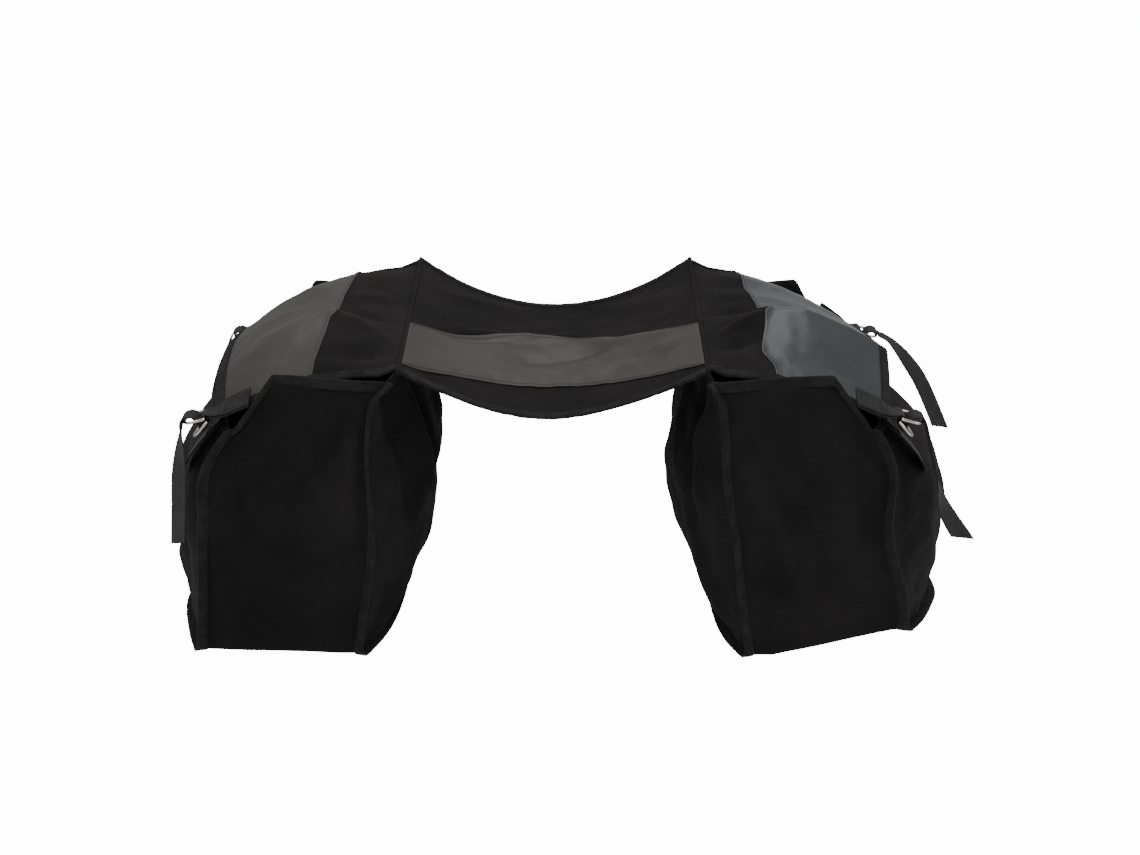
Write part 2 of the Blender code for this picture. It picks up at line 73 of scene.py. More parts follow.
bagShape = {
    # seam to the outer foot, and that corner's lean up to the mouth
    "depth": 0.213, "draft": 0.020,
    # how far the inner wall's foot stands out
    "foot": 0.047,
    "gussetTop": 0.3110, "gussetRise": 0.008, "chamferStart": 0.130,
    "mouthFront": 0.260, "mouthRear": 0.238, "mouthBow": 0.010,
    "footRadius": 0.018,
    "innerBelly": 0.055,
    "outerEdge": 0.050, "outerMiddle": 0.018, "outerHeight": 0.260,
    "shoulderRise": 0.060, "shoulderLean": 0.024,
}
flapShape = {
    "reach": 0.186, "reachGain": 0.002, "bow": 0.014, "crown": 0.0245,
    "dropFront": 0.057, "dropRear": 0.096, "sideGap": 0.008, "tuck": 0.014,
}
clothSize = {"canvas": 0.0013, "coated": 0.0012, "tape": 0.0106, "webbing": 0.025, "webbingThick": 0.0016}


def clamp(value):
    return max(0, min(1, value))


def easeIn(share):
    return share * share * (3 - 2 * share)


def rearward(y):
    return (y + half) / length


def belly(y):
    return 1 - (y / half) ** 2


def seamZ(y):
    return seamMiddleZ + seamSlope * y


def mouthZ(y):
    shape = bagShape
    level = shape["mouthFront"] + (shape["mouthRear"] - shape["mouthFront"]) * rearward(y)
    return level + shape["mouthBow"] * belly(y)


def innerX(y, z):
    bulge = math.sin(math.pi * (z + 0.05) / (seamZ(y) + 0.05))
    corner = seamX + bagShape["foot"] * (1 - z / seamZ(y))
    return corner - bagShape["innerBelly"] * bulge * belly(y)


def cornerX(y, z):
    rise = bagShape["shoulderRise"]
    lean = clamp((z - mouthZ(y) + rise) / rise)
    draft = bagShape["draft"] * z / mouthZ(y)
    return seamX + bagShape["depth"] - draft - bagShape["shoulderLean"] * lean ** 1.6


def outerX(y, z):
    middle = bagShape["outerMiddle"] * math.sin(math.pi * min(z / bagShape["outerHeight"], 1))
    return cornerX(y, z) + (bagShape["outerEdge"] + middle) * belly(y)


def flapEdge(y):
    return seamX + flapShape["reach"] + flapShape["bow"] * belly(y) + flapShape["reachGain"] * rearward(y)


def flapZ(x, y):
    share = max(0, (x - seamX) / (flapEdge(y) - seamX))
    drop = flapShape["dropFront"] + (flapShape["dropRear"] - flapShape["dropFront"]) * rearward(y) ** 2
    crown = flapShape["crown"] * (math.sin(math.pi * min(share, 1)) + share ** 2) * belly(y)
    tuck = flapShape["tuck"] * abs(y / half) ** 7 * min(1, share * 9) * (1 - min(share, 1))
    return seamZ(y) + crown - drop * share ** 1.7 - tuck


# small helpers for cloth surfaces
def ridge(u, v, fold):
    # a soft ridge or hollow along a line: u0, v0, u1, v1, width, height
    u0, v0, u1, v1, width, height = fold
    du, dv = u1 - u0, v1 - v0
    along = clamp(((u - u0) * du + (v - v0) * dv) / (du * du + dv * dv))
    near = math.hypot(u - u0 - du * along, v - v0 - dv * along)
    fade = math.sin(math.pi * clamp(along * 0.8 + 0.1))
    return height * fade * math.exp(-(near / width) ** 2)


def rumple(point, scale, height, seed):
    place = Vector(point) / scale + Vector((seed * 7.3, seed * 3.1, seed * 5.7))
    return noise.fractal(place, 0.8, 2.1, 3) * height


def assign(piece, body, node=None):
    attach(piece, body)
    if node:
        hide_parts(node)
    return piece


def newObject(name, bm, materialUsed, smooth=True):
    mesh = bpy.data.meshes.new(name)
    bm.to_mesh(mesh)
    bm.free()
    if smooth:
        mesh.shade_smooth()
    mesh.materials.append(materialUsed)
    made = bpy.data.objects.new(name, mesh)
    bpy.context.scene.collection.objects.link(made)
    return made


def gridMesh(columns, rows):
    bm = bmesh.new()
    uvLayer = bm.loops.layers.uv.new("cut")
    bmesh.ops.create_grid(bm, x_segments=columns, y_segments=rows, size=0.5)
    return bm, uvLayer


def clothPanel(name, grid, place, cut, finish, outward, flip, folds=(),
               rough=(0.05, 0.0015), seed=1, calmTop=0):
    # a panel of cloth laid on a surface, with folds and small rumples along its normal
    keepEdge = 0.08
    bm, uvLayer = gridMesh(*grid)
    shares = {vert: (vert.co.x + 0.5, vert.co.y + 0.5) for vert in bm.verts}
    for face in bm.faces:
        for loop in face.loops:
            u, v = shares[loop.vert]
            loop[uvLayer].uv = (u * cut[0], v * cut[1])
    for vert, (u, v) in shares.items():
        vert.co = Vector(place(u, v))
        vert.co.x *= flip
    bm.normal_update()
    facing = Vector((outward[0] * flip, outward[1], outward[2]))
    total = sum((face.normal * face.calc_area() for face in bm.faces), Vector())
    if total.dot(facing) < 0:
        bmesh.ops.reverse_faces(bm, faces=bm.faces)
        bm.normal_update()
    moves = {}
    for vert, (u, v) in shares.items():
        edge = min(u, 1 - u, v, 1 - v - calmTop) / keepEdge
        hold = min(1, edge) ** 0.7 if edge > 0 else 0
        push = sum(ridge(u, v, fold) for fold in folds)
        push += rumple(vert.co, rough[0], rough[1], seed)
        moves[vert] = vert.normal * push * hold
    for vert, move in moves.items():
        vert.co += move
    return newObject(name, bm, finish)


def thicken(piece, thickness):
    solid = piece.modifiers.new("thickness", "SOLIDIFY")
    solid.thickness = thickness
    solid.offset = -1
    smooth = piece.modifiers.new("smooth", "SUBSURF")
    smooth.levels = 1
    smooth.render_levels = 1


def closeTube(name, bm, finish):
    bmesh.ops.remove_doubles(bm, verts=bm.verts, dist=0.00001)
    bmesh.ops.holes_fill(bm, edges=[edge for edge in bm.edges if edge.is_boundary], sides=0)
    bmesh.ops.recalc_face_normals(bm, faces=bm.faces)
    return newObject(name, bm, finish)


def sweptStrip(name, path, across, profile, cutAcross, finish, flip, corner):
    # a closed profile carried along a path; corner() places one of its points
    last = len(path) - 1
    around = len(profile)
    bm, uvLayer = gridMesh(around, last)
    travel = [0.0]
    for before, after in zip(path, path[1:]):
        travel.append(travel[-1] + (Vector(after) - Vector(before)).length)
    index = {vert: (round((vert.co.x + 0.5) * around), round((vert.co.y + 0.5) * last)) for vert in bm.verts}
    for face in bm.faces:
        for loop in face.loops:
            column, row = index[loop.vert]
            loop[uvLayer].uv = (cutAcross(column), travel[row])
    for vert, (column, row) in index.items():
        along = Vector(path[min(row + 1, last)]) - Vector(path[max(row - 1, 0)])
        side = Vector(across[row]).normalized()
        normal = along.cross(side).normalized()
        out, up = profile[column % around]
        vert.co = Vector(path[row]) + corner(row, travel[row], out, up, side, normal, along.normalized())
        vert.co.x *= flip
    return closeTube(name, bm, finish)


def foldedTape(name, path, across, finish, thick=0.0028, flip=1, seed=3, tuck=0):
    # binding tape: a flat hem with a rolled outer edge, laid along a path
    width = clothSize["tape"]
    pucker, ripples = 0.0004, 90
    upper = [(-tuck, 0.5), (0.25, 0.62), (0.6, 0.6), (0.85, 0.62), (1.0, 0.45)]
    profile = upper + [(1.04, 0.0)] + [(out, -up) for out, up in reversed(upper)]

    def cutAcross(column):
        return column / len(profile) * width * 2.2

    def corner(row, travel, out, up, side, normal, along):
        wave = pucker * noise.noise(Vector((travel * ripples, seed, out * 2)))
        return side * (out * width + wave) + normal * (up * thick + wave)

    return sweptStrip(name, path, across, profile, cutAcross, finish, flip, corner)


def webbingStrip(name, path, across, finish, flip=1, point=0, slant=0):
    # woven strap with thicker selvedges, its start cut to a point or its end cut at a slant
    width, thick = clothSize["webbing"], clothSize["webbingThick"]
    upper = [(-0.5, 0.15), (-0.48, 0.5), (-0.43, 0.56), (-0.38, 0.46), (0.0, 0.46), (0.38, 0.46),
             (0.43, 0.56), (0.48, 0.5), (0.5, 0.15)]
    profile = upper + [(out, -up) for out, up in reversed(upper)]
    last = len(path) - 1

    def cutAcross(column):
        return profile[column % len(profile)][0] * width

    def corner(row, travel, out, up, side, normal, along):
        place = side * (out * width) + normal * (up * thick)
        if row == 0:
            place -= along * point * (1 - 2 * abs(out))
        if row == last:
            place += along * slant * 2 * out
        return place

    return sweptStrip(name, path, across, profile, cutAcross, finish, flip, corner)


def roundWelt(name, path, radius, finish, flip):
    # a rolled edge of cloth, round in section
    bm, uvLayer = gridMesh(12, len(path) - 1)
    for vert in bm.verts:
        turn = 2 * math.pi * (vert.co.x + 0.5)
        share = vert.co.y + 0.5
        x, y, z = path[round(share * (len(path) - 1))]
        thick = radius * (1 + 0.10 * noise.noise(Vector((0.5, share * 40, flip))))
        vert.co = Vector((flip * (x + thick * math.cos(turn)), y, z + thick * math.sin(turn)))
    for face in bm.faces:
        for loop in face.loops:
            loop[uvLayer].uv = (loop.vert.co.x, loop.vert.co.y)
    return closeTube(name, bm, finish)


def smoothRoute(points, steps):
    # an even curve through a few given points
    result = []
    last = len(points) - 1
    for index in range(last):
        a = Vector(points[max(index - 1, 0)])
        b = Vector(points[index])
        c = Vector(points[index + 1])
        d = Vector(points[min(index + 2, last)])
        for step in range(steps):
            t = step / steps
            result.append(0.5 * ((2 * b) + (c - a) * t + (2 * a - 5 * b + 4 * c - d) * t ** 2
                                 + (3 * b - 3 * c + d - a) * t ** 3))
    result.append(Vector(points[-1]))
    return result


def stitchRow(name, path, finish, flip=1, up=upwards, pitch=0.0034, stitch=0.0024, radius=0.00034):
    # short thread stitches along a path, each a small faceted spindle; up is one direction or one a point
    bm = bmesh.new()
    travel = 0.0
    nextStitch = 0.0
    size = Matrix.Diagonal((radius, radius, stitch / 2, 1))
    for index, (start, end) in enumerate(zip(path, path[1:])):
        start, end = Vector(start), Vector(end)
        run = (end - start).length
        if run < 1e-7:
            continue
        direction = (end - start) / run
        turn = direction.to_track_quat("Z", "Y").to_matrix().to_4x4()
        lift = (up[index] if isinstance(up, list) else up) * radius * 0.5
        while nextStitch <= travel + run:
            middle = start + direction * (nextStitch - travel) + lift
            place = Matrix.Translation(middle) @ turn @ size
            bmesh.ops.create_icosphere(bm, subdivisions=1, radius=1, matrix=place)
            nextStitch += pitch
        travel += run
    for vert in bm.verts:
        vert.co.x *= flip
    bmesh.ops.recalc_face_normals(bm, faces=bm.faces)
    return newObject(name, bm, finish)


def bindingStitches(name, path, across, lift, finish, flip=1):
    # a row near a binding's inner edge, stopping short of both ends
    beside = 0.0016
    route = [Vector(place) + Vector(away).normalized() * beside + upwards * lift
             for place, away in zip(path, across)]
    return stitchRow(name, route[3:-3], finish, flip)


# materials
def startMaterial(name):
    made = bpy.data.materials.new(name)
    made.use_nodes = True
    tree = made.node_tree
    place = tree.nodes.new("ShaderNodeTexCoord").outputs["Object"]
    return made, tree, tree.nodes["Principled BSDF"], place


def cutCoordinate(tree):
    node = tree.nodes.new("ShaderNodeUVMap")
    node.uv_map = "cut"
    return node.outputs["UV"]


def setInputs(node, values):
    for name, value in values.items():
        node.inputs[name].default_value = value


def texture(tree, kind, place, scale, feature=None, **values):
    node = tree.nodes.new(kind)
    node.inputs["Scale"].default_value = scale
    if feature:
        node.feature = feature
    setInputs(node, values)
    tree.links.new(place, node.inputs["Vector"])
    return node


def noiseTexture(tree, place, scale, detail=2.0, roughness=0.5):
    node = texture(tree, "ShaderNodeTexNoise", place, scale, Detail=detail, Roughness=roughness)
    return node.outputs["Fac"]


def rampNode(tree, source, stops):
    ramp = tree.nodes.new("ShaderNodeValToRGB")
    tree.links.new(source, ramp.inputs["Fac"])
    for element, (place, colour) in zip(ramp.color_ramp.elements, stops):
        element.position = place
        element.color = (*colour, 1)
    return ramp.outputs["Color"]


def roughBetween(tree, shader, source, low, high):
    spread = tree.nodes.new("ShaderNodeMapRange")
    setInputs(spread, {"To Min": low, "To Max": high})
    tree.links.new(source, spread.inputs["Value"])
    tree.links.new(spread.outputs["Result"], shader.inputs["Roughness"])


def bumpChain(tree, shader, layers):
    # each layer is (height socket, strength, distance)
    previous = None
    for height, strength, distance in layers:
        bump = tree.nodes.new("ShaderNodeBump")
        setInputs(bump, {"Strength": strength, "Distance": distance})
        tree.links.new(height, bump.inputs["Height"])
        if previous:
            tree.links.new(previous, bump.inputs["Normal"])
        previous = bump.outputs["Normal"]
    tree.links.new(previous, shader.inputs["Normal"])


def mathNode(tree, operation, first, second=None):
    node = tree.nodes.new("ShaderNodeMath")
    node.operation = operation
    for index, value in enumerate((first, second)):
        if isinstance(value, (int, float)):
            node.inputs[index].default_value = value
        elif value is not None:
            tree.links.new(value, node.inputs[index])
    return node.outputs[0]


def threads(tree, coordinate, pitchU, pitchV):
    # crossing threads and the rows alone, from the cut's own coordinates in metres
    split = tree.nodes.new("ShaderNodeSeparateXYZ")
    tree.links.new(coordinate, split.inputs[0])
    warp = mathNode(tree, "SINE", mathNode(tree, "MULTIPLY", split.outputs[0], 2 * math.pi / pitchU))
    weft = mathNode(tree, "SINE", mathNode(tree, "MULTIPLY", split.outputs[1], 2 * math.pi / pitchV))
    return mathNode(tree, "MULTIPLY", warp, weft), weft


canvasLook = {
    "dark": (0.0095, 0.0085, 0.0087), "light": (0.0235, 0.0208, 0.0210), "pitch": 0.0011,
    "lint": (0.07, 0.07, 0.07), "lintScale": 95.0, "lintSize": 0.045, "lintPatch": (23.0, 0.66),
    "cloud": (9.0, 6.0, 0.62), "slub": 900.0,
    "creaseScale": 15.0, "creaseDepth": 0.09, "creaseBend": (11.0, 0.05),
    "shader": {"Roughness": 0.88, "Specular IOR Level": 0.16, "Sheen Weight": 0.045,
               "Sheen Roughness": 0.45, "Sheen Tint": (0.85, 0.80, 0.78, 1)},
}


def canvasMaterial():
    look = canvasLook
    made, tree, shader, place = startMaterial("blackCanvas")
    weave = threads(tree, cutCoordinate(tree), look["pitch"], look["pitch"])[0]
    cloud = noiseTexture(tree, place, *look["cloud"])
    base = rampNode(tree, cloud, [(0.3, look["dark"]), (0.72, look["light"])])
    slub = noiseTexture(tree, place, look["slub"])
    # pale lint, only where a second noise is high
    specks = texture(tree, "ShaderNodeTexVoronoi", place, look["lintScale"], Randomness=1.0)
    patchScale, patchLevel = look["lintPatch"]
    patch = mathNode(tree, "GREATER_THAN", noiseTexture(tree, place, patchScale), patchLevel)
    lintSize = mathNode(tree, "MULTIPLY", patch, look["lintSize"])
    near = mathNode(tree, "LESS_THAN", specks.outputs["Distance"], lintSize)
    mix = tree.nodes.new("ShaderNodeMix")
    mix.data_type = "RGBA"
    tree.links.new(near, mix.inputs["Factor"])
    colour = [socket for socket in mix.inputs if socket.type == "RGBA"]
    tree.links.new(base, colour[0])
    colour[1].default_value = (*look["lint"], 1)
    shade = [socket for socket in mix.outputs if socket.type == "RGBA"][0]
    tree.links.new(shade, shader.inputs["Base Color"])
    setInputs(shader, look["shader"])
    # crumpled facets with fine crease lines between them
    bendScale, bendSize = look["creaseBend"]
    bend = texture(tree, "ShaderNodeTexNoise", place, bendScale, Detail=3.0)
    shifted = tree.nodes.new("ShaderNodeVectorMath")
    shifted.operation = "MULTIPLY_ADD"
    tree.links.new(bend.outputs["Color"], shifted.inputs[0])
    shifted.inputs[1].default_value = (bendSize, bendSize, bendSize)
    tree.links.new(place, shifted.inputs[2])
    crease = texture(tree, "ShaderNodeTexVoronoi", shifted.outputs["Vector"], look["creaseScale"],
                     feature="DISTANCE_TO_EDGE")
    fine = mathNode(tree, "MINIMUM", crease.outputs["Distance"], look["creaseDepth"])
    bumpChain(tree, shader, [(fine, 0.35, 0.008), (weave, 0.35, 0.00025), (slub, 0.25, 0.0003),
                             (cloud, 0.3, 0.003)])
    return made


# woven tapes: pitch is across and along the weave, turn is its angle to the strap
wovenLooks = {
    "grosgrainTape": {
        "dark": (0.0105, 0.0102, 0.0105), "light": (0.026, 0.0255, 0.026),
        "pitch": (0.0011, 0.0016), "turn": 0, "cloud": 60.0, "ribs": (0.55, 0.0004),
        "shader": {"Roughness": 0.78, "Specular IOR Level": 0.25, "Sheen Weight": 0.06,
                   "Sheen Roughness": 0.4},
    },
    "strapWebbing": {
        "dark": (0.0095, 0.0095, 0.010), "light": (0.023, 0.023, 0.024),
        "pitch": (0.0024, 0.0019), "turn": 38, "cloud": 70.0, "ribs": (0.6, 0.0005),
        "shader": {"Roughness": 0.6, "Specular IOR Level": 0.38, "Sheen Weight": 0.08},
    },
}


def wovenMaterial(name):
    look = wovenLooks[name]
    made, tree, shader, place = startMaterial(name)
    turn = tree.nodes.new("ShaderNodeMapping")
    turn.inputs["Rotation"].default_value = (0, 0, math.radians(look["turn"]))
    tree.links.new(cutCoordinate(tree), turn.inputs["Vector"])
    weave, ribs = threads(tree, turn.outputs["Vector"], *look["pitch"])
    cloud = noiseTexture(tree, place, look["cloud"], 4.0)
    base = rampNode(tree, cloud, [(0.35, look["dark"]), (0.7, look["light"])])
    tree.links.new(base, shader.inputs["Base Color"])
    setInputs(shader, look["shader"])
    bumpChain(tree, shader, [(ribs, *look["ribs"]), (weave, 0.4, 0.0003)])
    return made


coatedLooks = {
    "greyCoated": {"dark": (0.050, 0.0485, 0.043), "light": (0.080, 0.078, 0.070),
                   "rough": (0.40, 0.54), "coat": 0.08, "ribs": None},
    "blueGreyCoated": {"dark": (0.030, 0.033, 0.041), "light": (0.075, 0.079, 0.088),
                       "rough": (0.26, 0.40), "coat": 0.5, "ribs": None},
    "ribbedCoated": {"dark": (0.19, 0.195, 0.20), "light": (0.27, 0.27, 0.27),
                     "rough": (0.3, 0.42), "coat": 0.2, "ribs": 0.0042},
}


def coatedMaterial(name):
    look = coatedLooks[name]
    made, tree, shader, place = startMaterial(name)
    cut = cutCoordinate(tree)
    cloud = noiseTexture(tree, place, 7.0, 5.0, 0.55)
    base = rampNode(tree, cloud, [(0.32, look["dark"]), (0.7, look["light"])])
    tree.links.new(base, shader.inputs["Base Color"])
    scuff = noiseTexture(tree, place, 42.0, 7.0, 0.7)
    roughBetween(tree, shader, scuff, *look["rough"])
    setInputs(shader, {"Specular IOR Level": 0.5, "Coat Weight": look["coat"], "Coat Roughness": 0.30})
    grain = texture(tree, "ShaderNodeTexVoronoi", place, 1100.0, feature="SMOOTH_F1")
    weave = threads(tree, cut, 0.0013, 0.0013)[0]
    layers = [(grain.outputs["Distance"], 0.16, 0.0002), (weave, 0.10, 0.0002), (scuff, 0.08, 0.001)]
    if look["ribs"]:
        ribs = threads(tree, cut, 0.5, look["ribs"])[1]
        layers.append((ribs, 0.9, 0.0012))
    bumpChain(tree, shader, layers)
    return made


nickelLook = {"dark": (0.62, 0.60, 0.56), "light": (0.82, 0.80, 0.76), "rough": (0.14, 0.30)}


def nickelMaterial():
    made, tree, shader, place = startMaterial("nickelWire")
    cloud = noiseTexture(tree, place, 160.0, 4.0)
    tree.links.new(rampNode(tree, cloud, [(0.3, nickelLook["dark"]), (0.7, nickelLook["light"])]),
                   shader.inputs["Base Color"])
    roughBetween(tree, shader, cloud, *nickelLook["rough"])
    shader.inputs["Metallic"].default_value = 1.0
    bumpChain(tree, shader, [(cloud, 0.08, 0.0003)])
    return made


threadLooks = {"blackThread": (0.012, 0.012, 0.012), "greyThread": (0.11, 0.11, 0.105)}


def threadMaterial(name):
    colour = threadLooks[name]
    made, tree, shader, place = startMaterial(name)
    twist = noiseTexture(tree, place, 1500.0)
    light = tuple(channel * 1.8 for channel in colour)
    tree.links.new(rampNode(tree, twist, [(0.35, colour), (0.7, light)]), shader.inputs["Base Color"])
    shader.inputs["Roughness"].default_value = 0.6
    return made


canvas = canvasMaterial()
tape = wovenMaterial("grosgrainTape")
webbing = wovenMaterial("strapWebbing")
greyCoated = coatedMaterial("greyCoated")
blueGreyCoated = coatedMaterial("blueGreyCoated")
ribbedCoated = coatedMaterial("ribbedCoated")
nickel = nickelMaterial()
thread = threadMaterial("blackThread")
paleThread = threadMaterial("greyThread")
print("materials made")


# bridge: canvas, coated strip and two bound edges
bridgeLook = {
    "hollow": 0.032, "sagFront": 0.057, "sagRear": 0.046, "frontDip": 0.004, "foldDepth": 1.6,
    "weaveSpan": 0.33, "rumple": (0.045, 0.0016),
    "stripWidth": 0.116, "stripShift": -0.018, "stripBow": 0.077, "stripLift": 0.0019,
    "slit": (-0.082, -0.141), "slitSize": (0.0048, 0.0024), "welt": 0.0027,
    # folds as lines on the plan, in metres: x0, y0, x1, y1, width, height
    "folds": [(-0.10, 0.02, 0.02, 0.05, 0.010, 0.0045), (-0.04, -0.02, 0.07, 0.012, 0.012, -0.0045),
              (0.02, -0.05, 0.13, -0.045, 0.011, 0.0040), (0.03, 0.03, 0.13, -0.02, 0.009, 0.0040),
              (-0.13, -0.02, -0.05, 0.03, 0.009, -0.0035), (0.05, -0.035, 0.14, -0.07, 0.008, -0.0030),
              (-0.12, -0.10, -0.02, -0.045, 0.012, 0.0028), (-0.14, 0.10, -0.05, 0.11, 0.016, 0.003),
              (0.06, 0.11, 0.14, 0.08, 0.016, 0.003), (-0.15, -0.15, -0.11, -0.13, 0.010, -0.004)],
}
bridgeX = seamX - 0.0016


def bridgeHalf(x):
    return half - bridgeLook["hollow"] * (1 - min(1, (x / bridgeX) ** 2))


def bridgeSurface(x, share, lift=0.0):
    look = bridgeLook
    depth = look["sagFront"] + (look["sagRear"] - look["sagFront"]) * (share + 1) / 2
    flat = 1 - (x / bridgeX) ** 2
    y = share * bridgeHalf(x)
    z = seamZ(share * half) - depth * flat
    hold = min(1, flat * 2.5) * min(1, (1 - share * share) * 3 + 0.15)
    z += hold * look["foldDepth"] * sum(ridge(x, y, fold) for fold in look["folds"])
    z += hold * rumple((x, y, 0), *look["rumple"], 4)
    if share < 0:
        z -= look["frontDip"] * flat * math.cos(x * 21 + 0.5) * share * share
    return Vector((x, y, z + lift))


def cutSlit(panel):
    bm = bmesh.new()
    bm.from_mesh(panel.data)
    x0, y0 = bridgeLook["slit"]
    wide, deep = bridgeLook["slitSize"]
    hole = []
    for face in bm.faces:
        middle = face.calc_center_median()
        if ((middle.x - x0) / wide) ** 2 + ((middle.y - y0) / deep) ** 2 < 1:
            hole.append(face)
    bmesh.ops.delete(bm, geom=hole, context="FACES")
    bm.to_mesh(panel.data)
    bm.free()


def buildBridge():
    look = bridgeLook

    def place(u, v):
        x = (u - 0.5) * 2 * bridgeX
        inset = clothSize["tape"] * 0.35 / bridgeHalf(x)
        return bridgeSurface(x, (v - 0.5) * 2 * (1 - inset))

    panel = clothPanel("bridgeCanvas", (96, 84), place, (look["weaveSpan"], length), canvas, (0, 0, 1), 1,
                       rough=(0.03, 0.0005))
    cutSlit(panel)
    thicken(panel, clothSize["canvas"])
    assign(panel, "bridge", "bridge_panel")

    def stripPlace(u, v):
        x = (u - 0.5) * 2 * (bridgeX - 0.001)
        y = look["stripShift"] - look["stripBow"] * (x / bridgeX) ** 2 + (v - 0.5) * look["stripWidth"]
        return bridgeSurface(x, y / bridgeHalf(x), look["stripLift"])

    strip = clothPanel("bridgeStripCloth", (110, 44), stripPlace, (look["weaveSpan"], look["stripWidth"]),
                       greyCoated, (0, 0, 1), 1, rough=(0.03, 0.0003), seed=8)
    thicken(strip, clothSize["coated"])
    assign(strip, "bridge", "bridge_strip")
    for name, v in (("bridgeStripFrontStitches", 0.035), ("bridgeStripRearStitches", 0.965)):
        route = [stripPlace(step / 160, v) + upwards * 0.0002 for step in range(2, 159)]
        assign(stitchRow(name, route, thread), "bridge")

    for name, node, end in (("bridgeFrontBinding", "bridge_front_binding", -1),
                            ("bridgeRearBinding", "bridge_rear_binding", 1)):
        path, across = [], []
        for step in range(97):
            x = (step / 96 - 0.5) * 2 * bridgeX
            inner = bridgeSurface(x, end * (1 - clothSize["tape"] / bridgeHalf(x)))
            outer = bridgeSurface(x, end)
            path.append(inner - upwards * 0.0007)
            across.append(outer - inner)
        assign(foldedTape(name, path, across, tape, seed=5 + end), "bridge", node)
        assign(bindingStitches(name + "Stitches", path, across, 0.0019, thread), "bridge")
    # rolled seams that the bags and flaps swing round
    reach = half - 0.001
    stations = [reach * (step / 30 - 1) for step in range(61)]
    for flip, name in ((-1, "leftSeamWelt"), (1, "rightSeamWelt")):
        path = [(seamX, y, seamZ(y) - 0.0006) for y in stations]
        assign(roundWelt(name, path, look["welt"], canvas, flip), "bridge")
    print("bridge made")


buildBridge()


# bags: each side has its own fullness and folds
# gather, waist, drawn and slimmer pull the cloth in; drift and the foot values settle the bag, in metres
# folds are lines on a panel's own 0 to 1 square: u0, v0, u1, v1, width, height in metres
bagLook = {
    "left": {
        "sign": -1, "gather": 0.026, "waist": 0.001, "drawn": 0.014, "slimmer": 0.012,
        "drift": 0.009, "footBack": 0.012, "footLift": 0.002,
        "endFolds": [(0.10, 0.98, 0.45, 0.55, 0.055, -0.009), (0.05, 0.80, 0.25, 0.40, 0.06, 0.007),
                     (0.85, 0.85, 0.55, 0.35, 0.06, 0.008), (0.9, 0.97, 0.75, 0.50, 0.05, -0.008),
                     (0.97, 0.60, 0.70, 0.40, 0.05, -0.006), (0.5, 0.25, 0.10, 0.05, 0.07, 0.006),
                     (0.95, 0.2, 0.6, 0.12, 0.06, 0.005)],
        "innerFolds": [(0.06, 0.98, 0.20, 0.50, 0.035, -0.013), (0.14, 0.99, 0.30, 0.55, 0.030, 0.013),
                       (0.24, 0.98, 0.38, 0.50, 0.030, -0.012), (0.5, 0.99, 0.5, 0.6, 0.04, 0.006),
                       (0.75, 0.98, 0.62, 0.5, 0.04, -0.006), (0.1, 0.1, 0.3, 0.4, 0.05, 0.006)],
        "outerFolds": [(0.08, 0.95, 0.2, 0.5, 0.05, 0.005), (0.3, 0.98, 0.35, 0.5, 0.05, -0.004),
                       (0.7, 0.98, 0.6, 0.4, 0.05, 0.005), (0.5, 0.1, 0.3, 0.5, 0.06, 0.004)],
    },
    "right": {
        "sign": 1, "gather": 0.013, "waist": 0.012, "drawn": 0.026, "slimmer": 0.0,
        "drift": 0.010, "footBack": 0.034, "footLift": 0.015,
        "endFolds": [(0.98, 0.92, 0.72, 0.66, 0.045, -0.010), (0.94, 0.78, 0.60, 0.55, 0.055, 0.009),
                     (0.96, 0.62, 0.70, 0.42, 0.05, -0.007), (0.25, 0.98, 0.55, 0.70, 0.06, 0.007),
                     (0.05, 0.7, 0.3, 0.35, 0.06, 0.007), (0.6, 0.35, 0.95, 0.1, 0.06, 0.007),
                     (0.1, 0.25, 0.5, 0.08, 0.06, -0.005)],
        "innerFolds": [(0.05, 0.99, 0.18, 0.55, 0.030, 0.010), (0.15, 0.98, 0.22, 0.45, 0.030, -0.010),
                       (0.3, 0.99, 0.35, 0.55, 0.035, 0.007), (0.7, 0.98, 0.6, 0.5, 0.04, -0.006),
                       (0.1, 0.15, 0.3, 0.45, 0.05, 0.006)],
        "outerFolds": [(0.15, 0.98, 0.22, 0.45, 0.05, 0.006), (0.4, 0.97, 0.35, 0.4, 0.05, -0.005),
                       (0.75, 0.98, 0.6, 0.4, 0.05, 0.005), (0.3, 0.1, 0.2, 0.5, 0.06, 0.004)],
    },
}
# rows of the wall and band grids, from the foot up and round the foot's corner
upperRows, bottomRows, arcSteps = 34, 30, 6
seamLift = 0.0019


def footArc(inset):
    radius = bagShape["footRadius"] - inset
    centre = half - bagShape["footRadius"]
    turns = [math.pi / 2 * step / arcSteps for step in range(arcSteps + 1)]
    return [(centre + radius * math.sin(turn), bagShape["footRadius"] - radius * math.cos(turn))
            for turn in turns]


def endTop(share, y):
    low = innerX(y, bagShape["gussetTop"])
    corner = cornerX(y, mouthZ(y))
    start = seamX + bagShape["chamferStart"]
    x = low + (corner - low) * share
    level = bagShape["gussetTop"] + bagShape["gussetRise"] * min(1, (x - low) / (start - low))
    fall = max(0, x - start) / (corner - start)
    return level - (level - mouthZ(y)) * fall


